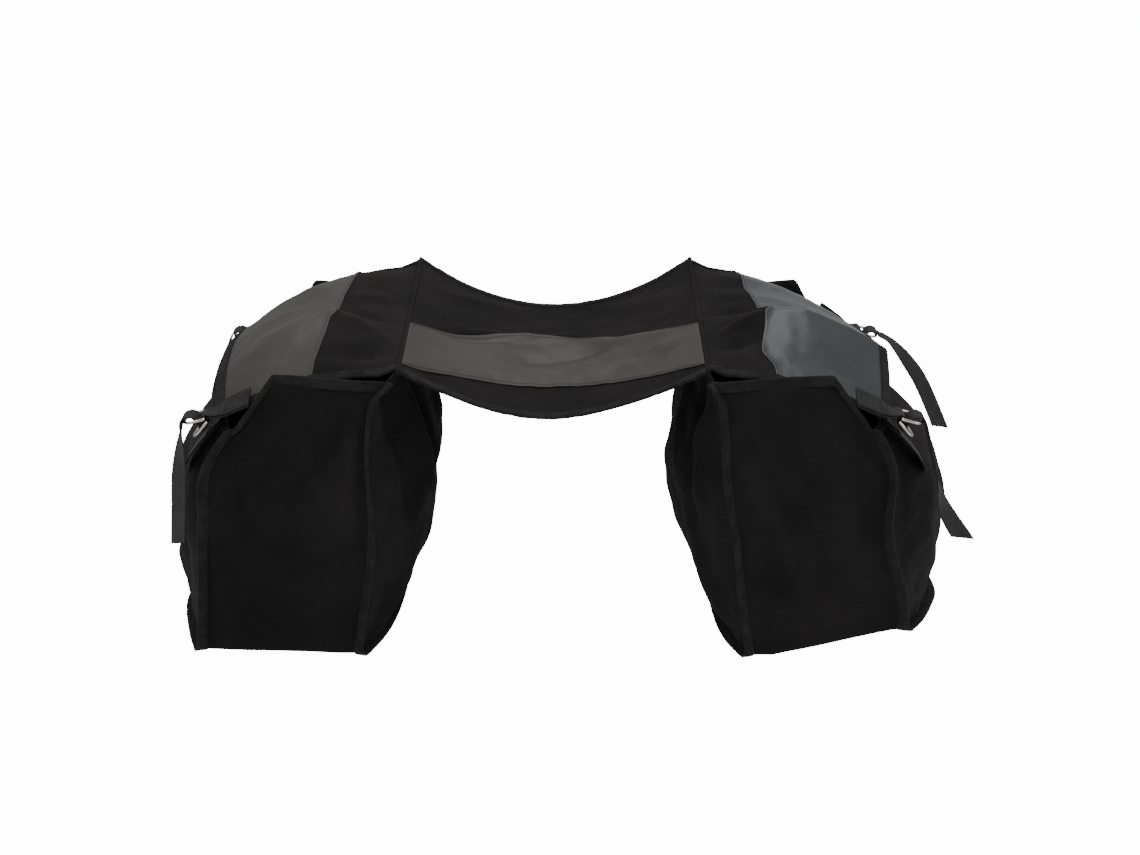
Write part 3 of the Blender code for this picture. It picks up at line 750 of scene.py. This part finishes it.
def slump(look, point):
    # the whole bag leans and settles a little, without moving at its seam
    flip = look["sign"]
    low = max(0, 1 - point.z / 0.30)
    deep = max(0, 1 - point.z / 0.13)
    out = clamp((abs(point.x) - seamX - 0.07) / 0.14)
    front = max(0, -point.y / half)
    place = Vector((point.x, point.y, point.z)) / 0.13 + Vector((7 * flip, 3, 1))
    drift = noise.noise_vector(place) * look["drift"] * min(1, low * 2)
    y = point.y + drift.y + look["footBack"] * deep * out * front
    z = point.z + look["footLift"] * deep * out * front
    # gathered corner under the seam
    height = (0.322 - point.z) / 0.032
    gather = clamp(height) * max(0.25, min(1, 1.3 - height * 0.12))
    near = max(0, 1 - max(0, abs(point.x) - seamX) / 0.11)
    pull = look["gather"] * gather * near * abs(point.y / half) ** 3
    # outer corner hangs in under the mouth
    waist = math.exp(-((point.z - 0.17) / 0.07) ** 2) * out * abs(point.y / half) ** 3
    # mouth drawn in under the flap, most in its middle
    rise = clamp((point.z - mouthZ(point.y) + 0.085) / 0.085)
    drawn = look["drawn"] * rise * rise * out * max(0, belly(point.y)) ** 0.8
    return Vector((point.x + drift.x + flip * (pull - look["waist"] * waist - drawn), y, z))


def outerSurface(side, y, z):
    return outerX(y, z) - bagLook[side]["slimmer"] * belly(y)


def bagPieces(side):
    look = bagLook[side]
    flip = look["sign"]
    tapeWide = clothSize["tape"]

    def outer(y, z):
        return outerSurface(side, y, z)

    def across(share, y, z):
        return innerX(y, z) + (outer(y, z) - innerX(y, z)) * share

    def keep(piece, node=None):
        for vert in piece.data.vertices:
            vert.co = slump(look, vert.co)
        assign(piece, f"{side}_bag", node and f"{side}_{node}")

    # end panels and bottom in one band: each row has y, z and its share of the end panel's height
    arc = footArc(0.0)
    rear = [(y, z, 0.0) for y, z in arc] + [(half, None, row / upperRows) for row in range(1, upperRows + 1)]
    front = [(-y, z, share) for y, z, share in reversed(rear)]
    bottom = [(arc[0][0] * (2 * row / bottomRows - 1), 0.0, 0.0) for row in range(1, bottomRows)]
    rows = front + bottom + rear
    last = len(rows) - 1

    def bandPlace(u, v):
        y, z, share = rows[round(v * last)]
        fold = 0.0
        if z is None:
            z = bagShape["footRadius"] + (endTop(u, y) - 0.004 - bagShape["footRadius"]) * share
            folds = look["endFolds"] if y < 0 else look["endFolds"][:3]
            hold = clamp(min(u, 1 - u, share, 0.965 - share) * 9)
            fold = sum(ridge(u, share, line) for line in folds)
            fold += rumple((u * 0.2, y, z), 0.055, 0.0055, flip + 5)
            fold = hold * (fold + 0.006 * math.sin(math.pi * u) * math.sin(math.pi * share))
        x = across(u, y, z)
        return Vector((x, y + (fold if y > 0 else -fold), z))

    band = clothPanel(f"{side}GussetBand", (40, last), bandPlace, (0.18, 0.95), canvas, (0, 0, -1), flip,
                      rough=(0.02, 0.0003))
    thicken(band, clothSize["canvas"])
    keep(band, "gusset_band")

    def wallPiece(name, node, surface, top, outward, folds, seed, calm=0):
        wallArc = footArc(0.001)
        wallRows = arcSteps + upperRows

        def place(u, v):
            row = round(v * wallRows)
            reach, z = wallArc[min(row, arcSteps)]
            y = reach * (2 * u - 1)
            if row > arcSteps:
                z += (top(y) - z) * (row - arcSteps) / upperRows
            return Vector((surface(y, z), y, z))

        made = clothPanel(name, (56, wallRows), place, (length, 0.31), canvas, outward, flip,
                          folds=folds, rough=(0.055, 0.0055), seed=seed, calmTop=calm)
        thicken(made, clothSize["canvas"])
        keep(made, node)

    wallPiece(f"{side}OuterWall", "outer_wall", outer, lambda y: mouthZ(y) - 0.004, (1, 0, 0),
              look["outerFolds"], flip + 12, calm=0.15)
    wallPiece(f"{side}InnerWall", "inner_wall", innerX, lambda y: seamZ(y) - 0.003, (-1, 0, 0),
              look["innerFolds"], flip + 22)

    # ribbed facing inside the mouth
    facingHigh = 0.024

    def facingPlace(u, v):
        y = (half - 0.006) * (2 * u - 1)
        z = mouthZ(y) - tapeWide * 0.8 - facingHigh * (1 - v)
        return Vector((outer(y, z) - 0.0036, y, z))

    facing = clothPanel(f"{side}MouthFacing", (60, 10), facingPlace, (length, facingHigh), ribbedCoated,
                        (-1, 0, 0), flip, rough=(0.03, 0.0006))
    thicken(facing, clothSize["coated"])
    keep(facing, "mouth_facing")

    # tapes along the mouth and along the top of each end panel
    def boundEdge(name, node, points, seed):
        path = [low for low, high in points]
        sideways = [high - low for low, high in points]
        keep(foldedTape(name, path, sideways, tape, thick=0.0032, flip=flip, seed=seed), node)

    points = []
    for step in range(61):
        y = (half - 0.003) * (2 * step / 60 - 1)
        top = mouthZ(y)
        points.append([Vector((outer(y, z) - 0.0004, y, z)) for z in (top - tapeWide, top)])
    boundEdge(f"{side}MouthBinding", "mouth_binding", points, 31 + flip)
    for end, place in ((-1, "Front"), (1, "Rear")):
        points = []
        for step in range(49):
            share = step / 48
            y = end * half
            top = endTop(share, y)
            wave = end * 0.0016 * math.sin(share * 9 + flip)
            low = top - tapeWide
            points.append((Vector((across(share, y, low), y - end * 0.0004 + wave, low)),
                           Vector((across(share, y, top), y + wave, top))))
        boundEdge(f"{side}{place}GussetBinding", f"{place.lower()}_gusset_binding", points, 41 + end)

    # bound seams round each wall, stitched on both faces
    def boundSeam(name, node, surface, sideways, top, seed):
        path, out = [], []
        legRows = 30
        for end in (-1, 1):
            leg = []
            for row in range(legRows, 0, -1):
                share = row / legRows
                z = bagShape["footRadius"] + (top(end * half) - bagShape["footRadius"]) * share
                sway = 0.0012 * math.sin(share * 11 + seed) * math.sin(math.pi * share)
                leg.append(((surface(end * half, z) + sway, end * half, z),
                            (sideways, end * (1 + sway * 150), 0)))
            for step in range(arcSteps, -1, -1):
                y, z = arc[step]
                lean = math.sin(math.pi / 2 * step / arcSteps) ** 2
                z = max(z, seamLift)
                leg.append(((surface(end * y, z), end * y, z), (sideways, end * lean, 0)))
            if end > 0:
                leg.reverse()
                for row in range(1, bottomRows):
                    y = arc[0][0] * (2 * row / bottomRows - 1)
                    path.append((surface(y, seamLift), y, seamLift))
                    out.append((sideways, 0, 0))
            path += [point for point, direction in leg]
            out += [direction for point, direction in leg]
        keep(foldedTape(name, path, out, tape, flip=flip, seed=seed, tuck=0.34), node)
        for layer, face in (("Outer", 1), ("Inner", -1)):
            route, up = [], []
            for index, (point, direction) in enumerate(zip(path, out)):
                before = Vector(path[max(index - 1, 0)])
                after = Vector(path[min(index + 1, len(path) - 1)])
                direction = Vector(direction).normalized()
                normal = (after - before).cross(direction).normalized() * face
                route.append(Vector(point) + direction * 0.0022 + normal * 0.0017)
                up.append(normal)
            keep(stitchRow(f"{name}{layer}Stitches", route, thread, flip, up))

    boundSeam(f"{side}InnerSeamBinding", "inner_seam_binding", innerX, -1, lambda y: bagShape["gussetTop"],
              2.0 + flip)
    boundSeam(f"{side}OuterSeamBinding", "outer_seam_binding", outer, 1, mouthZ, 5.0 + flip)
    print(side, "bag made")


for side in bagLook:
    bagPieces(side)


# flaps: canvas, coated panel, bound edge
# panelJoint is the reach of the joint between the two cloths, at stops from front (-1) to rear (1)
# folds are lines on the plan, in metres: x0, y0, x1, y1, width, height
flapLook = {
    "left": {
        "sign": -1, "coated": greyCoated, "canvasCut": 0.082, "coatedCut": 0.135,
        "panelJoint": [(-1.0, 0.090), (-0.8, 0.088), (-0.35, 0.080), (-0.27, 0.072), (0.3, 0.068),
                       (1.0, 0.066)],
        "folds": [(0.165, -0.10, 0.235, -0.045, 0.010, 0.006), (0.165, -0.13, 0.235, -0.12, 0.012, -0.007),
                  (0.165, -0.05, 0.225, -0.035, 0.010, -0.004), (0.17, 0.02, 0.23, 0.0, 0.014, 0.004),
                  (0.24, -0.05, 0.33, -0.09, 0.022, 0.006), (0.24, -0.10, 0.30, -0.14, 0.02, -0.005),
                  (0.23, 0.05, 0.33, 0.06, 0.03, 0.005)],
        "crest": 0.0,
    },
    "right": {
        "sign": 1, "coated": blueGreyCoated, "canvasCut": 0.066, "coatedCut": 0.150,
        "panelJoint": [(-1.0, 0.074), (-0.85, 0.070), (-0.70, 0.058), (-0.35, 0.066), (-0.30, 0.071),
                       (-0.2, 0.060), (0.3, 0.052), (1.0, 0.050)],
        "folds": [(0.162, -0.09, 0.226, -0.055, 0.008, 0.008), (0.162, -0.12, 0.21, -0.10, 0.010, -0.007),
                  (0.162, -0.02, 0.22, -0.035, 0.010, -0.006), (0.165, 0.03, 0.22, 0.01, 0.014, 0.004),
                  (0.165, 0.09, 0.24, 0.07, 0.02, 0.005), (0.23, 0.04, 0.33, 0.02, 0.02, -0.003),
                  (0.24, -0.13, 0.33, -0.12, 0.02, -0.003)],
        "crest": 0.019,
    },
}
flapRoll = {"corner": 0.003, "crestY": -0.052, "crestWide": 0.034, "welt": 0.0014, "weltWide": 0.004,
            "rumple": (0.05, 0.0018), "lap": 0.004, "coatedLift": 0.0013}


def jointReach(side, y):
    # distance from the seam to the joint between canvas and coated panel
    stops = flapLook[side]["panelJoint"]
    place = max(-1, min(1, y / half))
    for (a, reachA), (b, reachB) in zip(stops, stops[1:]):
        if place <= b:
            return reachA + (reachB - reachA) * easeIn((place - a) / (b - a))
    return stops[-1][1]


def flapSurface(side, x, y, lift=0.0):
    look = flapLook[side]
    z = flapZ(x, y)
    share = clamp((x - seamX) / (flapEdge(y) - seamX))
    hold = min(1, share * 6) * min(1, (1 - abs(y) / half) * 6 + 0.1)
    z += hold * sum(ridge(x, y, fold) for fold in look["folds"])
    z += hold * rumple((x * look["sign"], y, 0), *flapRoll["rumple"], 9 + look["sign"])
    away = abs(y - flapRoll["crestY"]) / flapRoll["crestWide"]
    z += hold * look["crest"] * (math.exp(-away) - 0.30) * min(1, share * 1.8)
    step = x - seamX - jointReach(side, y)
    z += flapRoll["welt"] * math.exp(-(step / flapRoll["weltWide"]) ** 2)
    return Vector((x, y, z + lift))


def flapPieces(side):
    look = flapLook[side]
    flip = look["sign"]
    body = f"{side}_flap"
    flapHalf = half - flapShape["sideGap"]
    tapeWide = clothSize["tape"]
    reachY = flapHalf - tapeWide * 0.4

    def canvasPlace(u, v):
        y = reachY * (2 * v - 1)
        far = seamX + jointReach(side, y) + flapRoll["lap"]
        near = seamX + 0.0012
        return flapSurface(side, near + (far - near) * u, y)

    def coatedPlace(u, v):
        y = reachY * (2 * v - 1)
        near = seamX + jointReach(side, y)
        far = flapEdge(y) - tapeWide * 0.4
        return flapSurface(side, near + (far - near) * u, y, flapRoll["coatedLift"])

    inner = clothPanel(f"{side}FlapCanvas", (40, 110), canvasPlace, (look["canvasCut"], length), canvas,
                       (0, 0, 1), flip, rough=(0.03, 0.0004), seed=14)
    thicken(inner, clothSize["canvas"])
    assign(inner, body, f"{side}_flap_canvas")
    outerPanel = clothPanel(f"{side}FlapPanel", (64, 110), coatedPlace, (look["coatedCut"], length),
                            look["coated"], (0, 0, 1), flip, rough=(0.03, 0.0003), seed=15)
    thicken(outerPanel, clothSize["coated"])
    assign(outerPanel, body, f"{side}_flap_panel")

    route = []
    for step in range(2, 159):
        y = reachY * (2 * step / 160 - 1)
        route.append(flapSurface(side, seamX + jointReach(side, y) + 0.0030, y, 0.0015))
    row = stitchRow(f"{side}FlapJointStitches", route, paleThread, flip,
                    pitch=0.0042, stitch=0.0032, radius=0.0005)
    assign(row, body)

    # tape round three edges, with small rounded corners
    path, across = [], []

    def station(x, y, awayX, awayY):
        near = flapSurface(side, x, y)
        far = flapSurface(side, x + awayX * tapeWide, y + awayY * tapeWide)
        path.append(near + upwards * 0.0004)
        across.append(far - near)

    edge = flapHalf - tapeWide
    corner = flapRoll["corner"]
    start = seamX + 0.0014
    for end in (-1, 1):
        limit = flapEdge(end * edge) - tapeWide - corner
        stations = [(start + (limit - start) * step / 40, end * edge, 0, end) for step in range(41)]
        for angle in range(15, 91, 15):
            turn = math.radians(angle)
            stations.append((limit + corner * math.sin(turn), end * (edge - corner + corner * math.cos(turn)),
                             math.sin(turn), end * math.cos(turn)))
        if end > 0:
            for row in range(1, 50):
                y = (edge - corner) * (2 * row / 50 - 1)
                station(flapEdge(y) - tapeWide, y, 1, 0)
            stations.reverse()
        for values in stations:
            station(*values)
    band = foldedTape(f"{side}FlapBinding", path, across, tape, thick=0.0034, flip=flip, seed=51 + flip)
    assign(band, body, f"{side}_flap_binding")
    assign(bindingStitches(f"{side}FlapBindingStitches", path, across, 0.0022, thread, flip), body)
    print(side, "flap made")


for side in flapLook:
    flapPieces(side)


# rings, tabs, closing straps and tails; sizes in metres, angles in degrees
ringLook = {"wire": 0.0032, "width": 0.0268, "leg": 0.0125, "bow": 0.0085, "bend": 0.0022, "apart": 0.0042,
            "upper": -15, "lower": -50}
tabLook = {"length": 0.036, "loop": 0.0050, "layers": 0.0024, "rest": 0.0031,
           "sewn": (0.12, 0.30, 0.88), "sewnWide": 0.021}
strapLook = {"lowY": 0.046, "highY": 0.033, "sewnLow": 0.058, "stand": 0.0040, "point": 0.009,
             "belowRings": 0.0168, "inward": 0.004, "sewnWide": 0.020, "sewnLift": 0.0014}


def dRing(name, pivot, tilt, shift, flip):
    # bent wire: circle swept round the ring's outline
    middle = math.radians((ringLook["upper"] + ringLook["lower"]) / 2)
    barX = abs(pivot.x) - math.sin(middle) * shift
    barZ = pivot.z + math.cos(middle) * shift
    wide = (ringLook["width"] + ringLook["wire"]) / 2
    leg = ringLook["leg"] + ringLook["wire"] / 2
    bend = ringLook["bend"]
    turns = (0.3, 0.8, 1.3)
    outline = [(0.0, -wide + wide * 2 * step / 8) for step in range(1, 8)]
    outline += [(bend * (1 - math.cos(t)), wide - bend + bend * math.sin(t)) for t in turns]
    outline += [(leg + ringLook["bow"] * math.sin(math.pi * step / 24), wide * math.cos(math.pi * step / 24))
                for step in range(25)]
    outline += [(bend * (1 - math.cos(t)), -wide + bend - bend * math.sin(t)) for t in reversed(turns)]
    slope = math.radians(tilt)
    curve = bpy.data.curves.new(name, "CURVE")
    curve.dimensions = "3D"
    curve.bevel_depth = ringLook["wire"] / 2
    curve.bevel_resolution = 4
    spline = curve.splines.new("POLY")
    spline.points.add(len(outline) - 1)
    spline.use_cyclic_u = True
    for point, (reach, sideways) in zip(spline.points, outline):
        x = barX + reach * math.cos(slope)
        z = barZ + reach * math.sin(slope)
        point.co = (x * flip, pivot.y + sideways, z, 1)
    curve.materials.append(nickel)
    wire = bpy.data.objects.new(name, curve)
    bpy.context.scene.collection.objects.link(wire)
    bpy.context.view_layer.update()
    mesh = bpy.data.meshes.new_from_object(wire.evaluated_get(bpy.context.evaluated_depsgraph_get()))
    bpy.data.objects.remove(wire)
    mesh.shade_smooth()
    ring = bpy.data.objects.new(name, mesh)
    bpy.context.scene.collection.objects.link(ring)
    return ring


# each tail's route below the rings: out, down and along, in metres from the outer ring
# twist: where it starts and ends, as shares of the route, and its angle in degrees
tailLook = {
    "left_front": {"twist": (0.05, 0.6, 46),
                   "route": [(0.0015, -0.012, 0.000), (0.004, -0.035, -0.001), (0.0075, -0.068, -0.002),
                             (0.010, -0.100, -0.001), (0.0135, -0.138, 0.002)]},
    "left_rear": {"twist": (0.1, 0.7, -14),
                  "route": [(0.004, -0.010, -0.002), (0.012, -0.030, -0.010), (0.019, -0.060, -0.024),
                            (0.021, -0.095, -0.034), (0.020, -0.130, -0.040)]},
    "right_front": {"twist": (0.55, 1.0, 62),
                    "route": [(0.003, -0.010, 0.000), (0.009, -0.032, 0.001), (0.016, -0.062, 0.002),
                              (0.026, -0.096, 0.001), (0.047, -0.130, -0.003)]},
    "right_rear": {"twist": (0.05, 0.6, 48),
                   "route": [(0.012, -0.006, -0.004), (0.027, -0.020, -0.014), (0.045, -0.044, -0.028),
                             (0.058, -0.070, -0.040), (0.070, -0.098, -0.050)]},
}
tailCut = 0.0045
# the same tails through the rings: out and up from the rings' hinge
threading = [(0.0020, -0.0132), (0.0052, -0.0084), (0.0082, -0.0042), (0.0108, -0.0008), (0.0140, 0.0019),
             (0.0185, 0.0022), (0.0230, 0.0004), (0.0260, -0.0036)]


def crossStitches(name, line, body, flip, up=upwards):
    # one row across a strap, between the two ends of a line
    start, end = line
    route = [start + (end - start) * step / 8 for step in range(9)]
    assign(stitchRow(name, route, thread, flip, up, pitch=0.003), body)


def ringTab(side, label, node, pivot, end):
    # webbing folded round both bars and sewn down on the flap
    look = tabLook
    flip = flapLook[side]["sign"]
    body = f"{side}_flap"
    centreX = abs(pivot.x)
    edge = flapEdge(pivot.y)
    nearY, farY = end * (half - 0.030), end * (half - flapShape["sideGap"])

    def restZ(x):
        return (flapZ(x, nearY) + flapZ(x, farY)) / 2 + look["rest"]

    def slopeAt(x):
        return (flapZ(x, farY) - flapZ(x, nearY)) / (farY - nearY)

    reaches = [edge - look["length"] * share for share in (1.0, 0.75, 0.5, 0.25, 0.0)]
    inner = [(x, restZ(x)) for x in reaches]
    turns = [math.radians(angle) for angle in (155, 185, 225, 270, 315, 0, 45, 90)]
    loop = [(centreX + look["loop"] * math.cos(turn), pivot.z + look["loop"] * math.sin(turn))
            for turn in turns]
    back = [(x, z + look["layers"]) for x, z in reversed(inner)]
    route = smoothRoute([(x, pivot.y, z) for x, z in inner + loop + back], 4)
    lean = [(0, 1, slopeAt(point.x) * clamp((edge - point.x) / 0.012)) for point in route]
    assign(webbingStrip(f"{label}RingTab", route, lean, webbing, flip), body, f"{node}_ring_tab")
    for index, share in enumerate(look["sewn"]):
        x = edge - look["length"] * share
        slope = slopeAt(x) * min(1, share * 3)
        line = [Vector((x, pivot.y + shift, restZ(x) + look["layers"] + 0.0009 + shift * slope))
                for shift in (-look["sewnWide"] / 2, look["sewnWide"] / 2)]
        crossStitches(f"{label}TabStitches{index}", line, body, flip)


def closingStrap(side, label, node, pivot, end):
    # pointed end sewn on the outer wall, then up to the rings
    look = strapLook
    flip = flapLook[side]["sign"]
    body = f"{side}_bag"
    reach = clothSize["webbing"] / 2
    lowY, highY = end * (half - look["lowY"]), end * (half - look["highY"])
    points = []
    for step in range(6):
        share = step / 5
        y = lowY + (highY - lowY) * share
        z = mouthZ(y) - look["sewnLow"] * (1 - share)
        near = max(outerSurface(side, y - reach, z), outerSurface(side, y + reach, z))
        settled = slump(bagLook[side], Vector((flip * (near + look["stand"]), y, z)))
        points.append(Vector((flip * settled.x, settled.y, settled.z)))
    last = points[-1]
    top = Vector((abs(pivot.x) + 0.0012, end * (abs(pivot.y) - look["inward"]), pivot.z - look["belowRings"]))
    points += [last + (top - last) * 0.5, top]
    route = smoothRoute(points, 6)
    strap = webbingStrip(f"{label}ClosingStrap", route, [(0, 1, 0)] * len(route), webbing, flip,
                         point=look["point"])
    assign(strap, body, f"{node}_closing_strap")
    line = [route[3] + Vector((look["sewnLift"], shift, 0))
            for shift in (-look["sewnWide"] / 2, look["sewnWide"] / 2)]
    crossStitches(f"{label}StrapStitches", line, body, flip, Vector((1, 0, 0)))


def strapTail(side, label, node, pivot):
    # through both rings, over the outer one, then hanging
    steps = 6
    points = [Vector((abs(pivot.x) + out, pivot.y, pivot.z + up)) for out, up in threading]
    start = points[-1]
    points += [start + Vector((out, along, down)) for out, down, along in tailLook[node]["route"]]
    route = smoothRoute(points, steps)
    threaded = (len(threading) - 1) * steps
    begin, finish, angle = tailLook[node]["twist"]
    sideways = []
    for index in range(len(route)):
        share = max(0, index - threaded) / (len(route) - 1 - threaded)
        turn = math.radians(angle) * easeIn(clamp((share - begin) / (finish - begin)))
        sideways.append((math.sin(turn), math.cos(turn), 0))
    flip = flapLook[side]["sign"]
    tail = webbingStrip(f"{label}StrapTail", route, sideways, webbing, flip, slant=tailCut)
    assign(tail, f"{node}_rings", f"{node}_strap_tail")


def ringPieces(side, place, end):
    node = f"{side}_{place}"
    label = side + place.capitalize()
    pivot = Vector(joints[f"{node}_ring_swing"]["pos_m"])
    for layer, shift in (("upper", ringLook["apart"] / 2), ("lower", -ringLook["apart"] / 2)):
        name = f"{label}{layer.capitalize()}Ring"
        ring = dRing(name, pivot, ringLook[layer], shift, flapLook[side]["sign"])
        assign(ring, f"{node}_rings", f"{node}_{layer}_ring")
    ringTab(side, label, node, pivot, end)
    closingStrap(side, label, node, pivot, end)
    strapTail(side, label, node, pivot)


for side in flapLook:
    for place, end in (("front", -1), ("rear", 1)):
        ringPieces(side, place, end)
print("rings and straps made")


# floor and light: seen and glow are how bright the background is to the camera alone
stageLook = {
    "size": 6.0, "drop": 0.0005, "shade": (0.90, 0.90, 0.90), "floor": (0.93, 0.93, 0.93), "rough": 0.9,
    "world": 0.32, "seen": 14.0, "glow": 14.0, "aim": (0, 0, 0.2),
    "lamps": {"keyLeft": ((-1.6, -1.6, 2.2), 1.2, 17), "keyRight": ((1.9, -1.0, 1.7), 1.0, 14),
              "back": ((0.2, 1.1, 2.8), 1.8, 12), "top": ((0.0, -0.2, 2.6), 2.0, 9)},
}


def buildFloor():
    bm = bmesh.new()
    bmesh.ops.create_grid(bm, x_segments=1, y_segments=1, size=stageLook["size"])
    made, tree, shader, place = startMaterial("paleFloor")
    soft = noiseTexture(tree, place, 0.8)
    tree.links.new(rampNode(tree, soft, [(0.0, stageLook["shade"]), (1.0, stageLook["floor"])]),
                   shader.inputs["Base Color"])
    setInputs(shader, {"Roughness": stageLook["rough"], "Emission Color": (1, 1, 1, 1)})
    rays = tree.nodes.new("ShaderNodeLightPath")
    glow = mathNode(tree, "MULTIPLY", rays.outputs["Is Camera Ray"], stageLook["glow"])
    tree.links.new(glow, shader.inputs["Emission Strength"])
    floor = newObject("floor", bm, made, smooth=False)
    floor.location.z = -stageLook["drop"]


def buildLight():
    world = bpy.data.worlds.new("studio")
    world.use_nodes = True
    tree = world.node_tree
    background = tree.nodes["Background"]
    background.inputs["Color"].default_value = (1, 1, 1, 1)
    rays = tree.nodes.new("ShaderNodeLightPath")
    added = mathNode(tree, "MULTIPLY", rays.outputs["Is Camera Ray"], stageLook["seen"] - stageLook["world"])
    tree.links.new(mathNode(tree, "ADD", added, stageLook["world"]), background.inputs["Strength"])
    bpy.context.scene.world = world
    for name, (spot, size, power) in stageLook["lamps"].items():
        data = bpy.data.lights.new(name, "AREA")
        data.size = size
        data.energy = power
        lamp = bpy.data.objects.new(name, data)
        lamp.location = spot
        lamp.rotation_euler = (Vector(stageLook["aim"]) - Vector(spot)).to_track_quat("-Z", "Y").to_euler()
        bpy.context.scene.collection.objects.link(lamp)


buildFloor()
buildLight()
print("floor and light made")
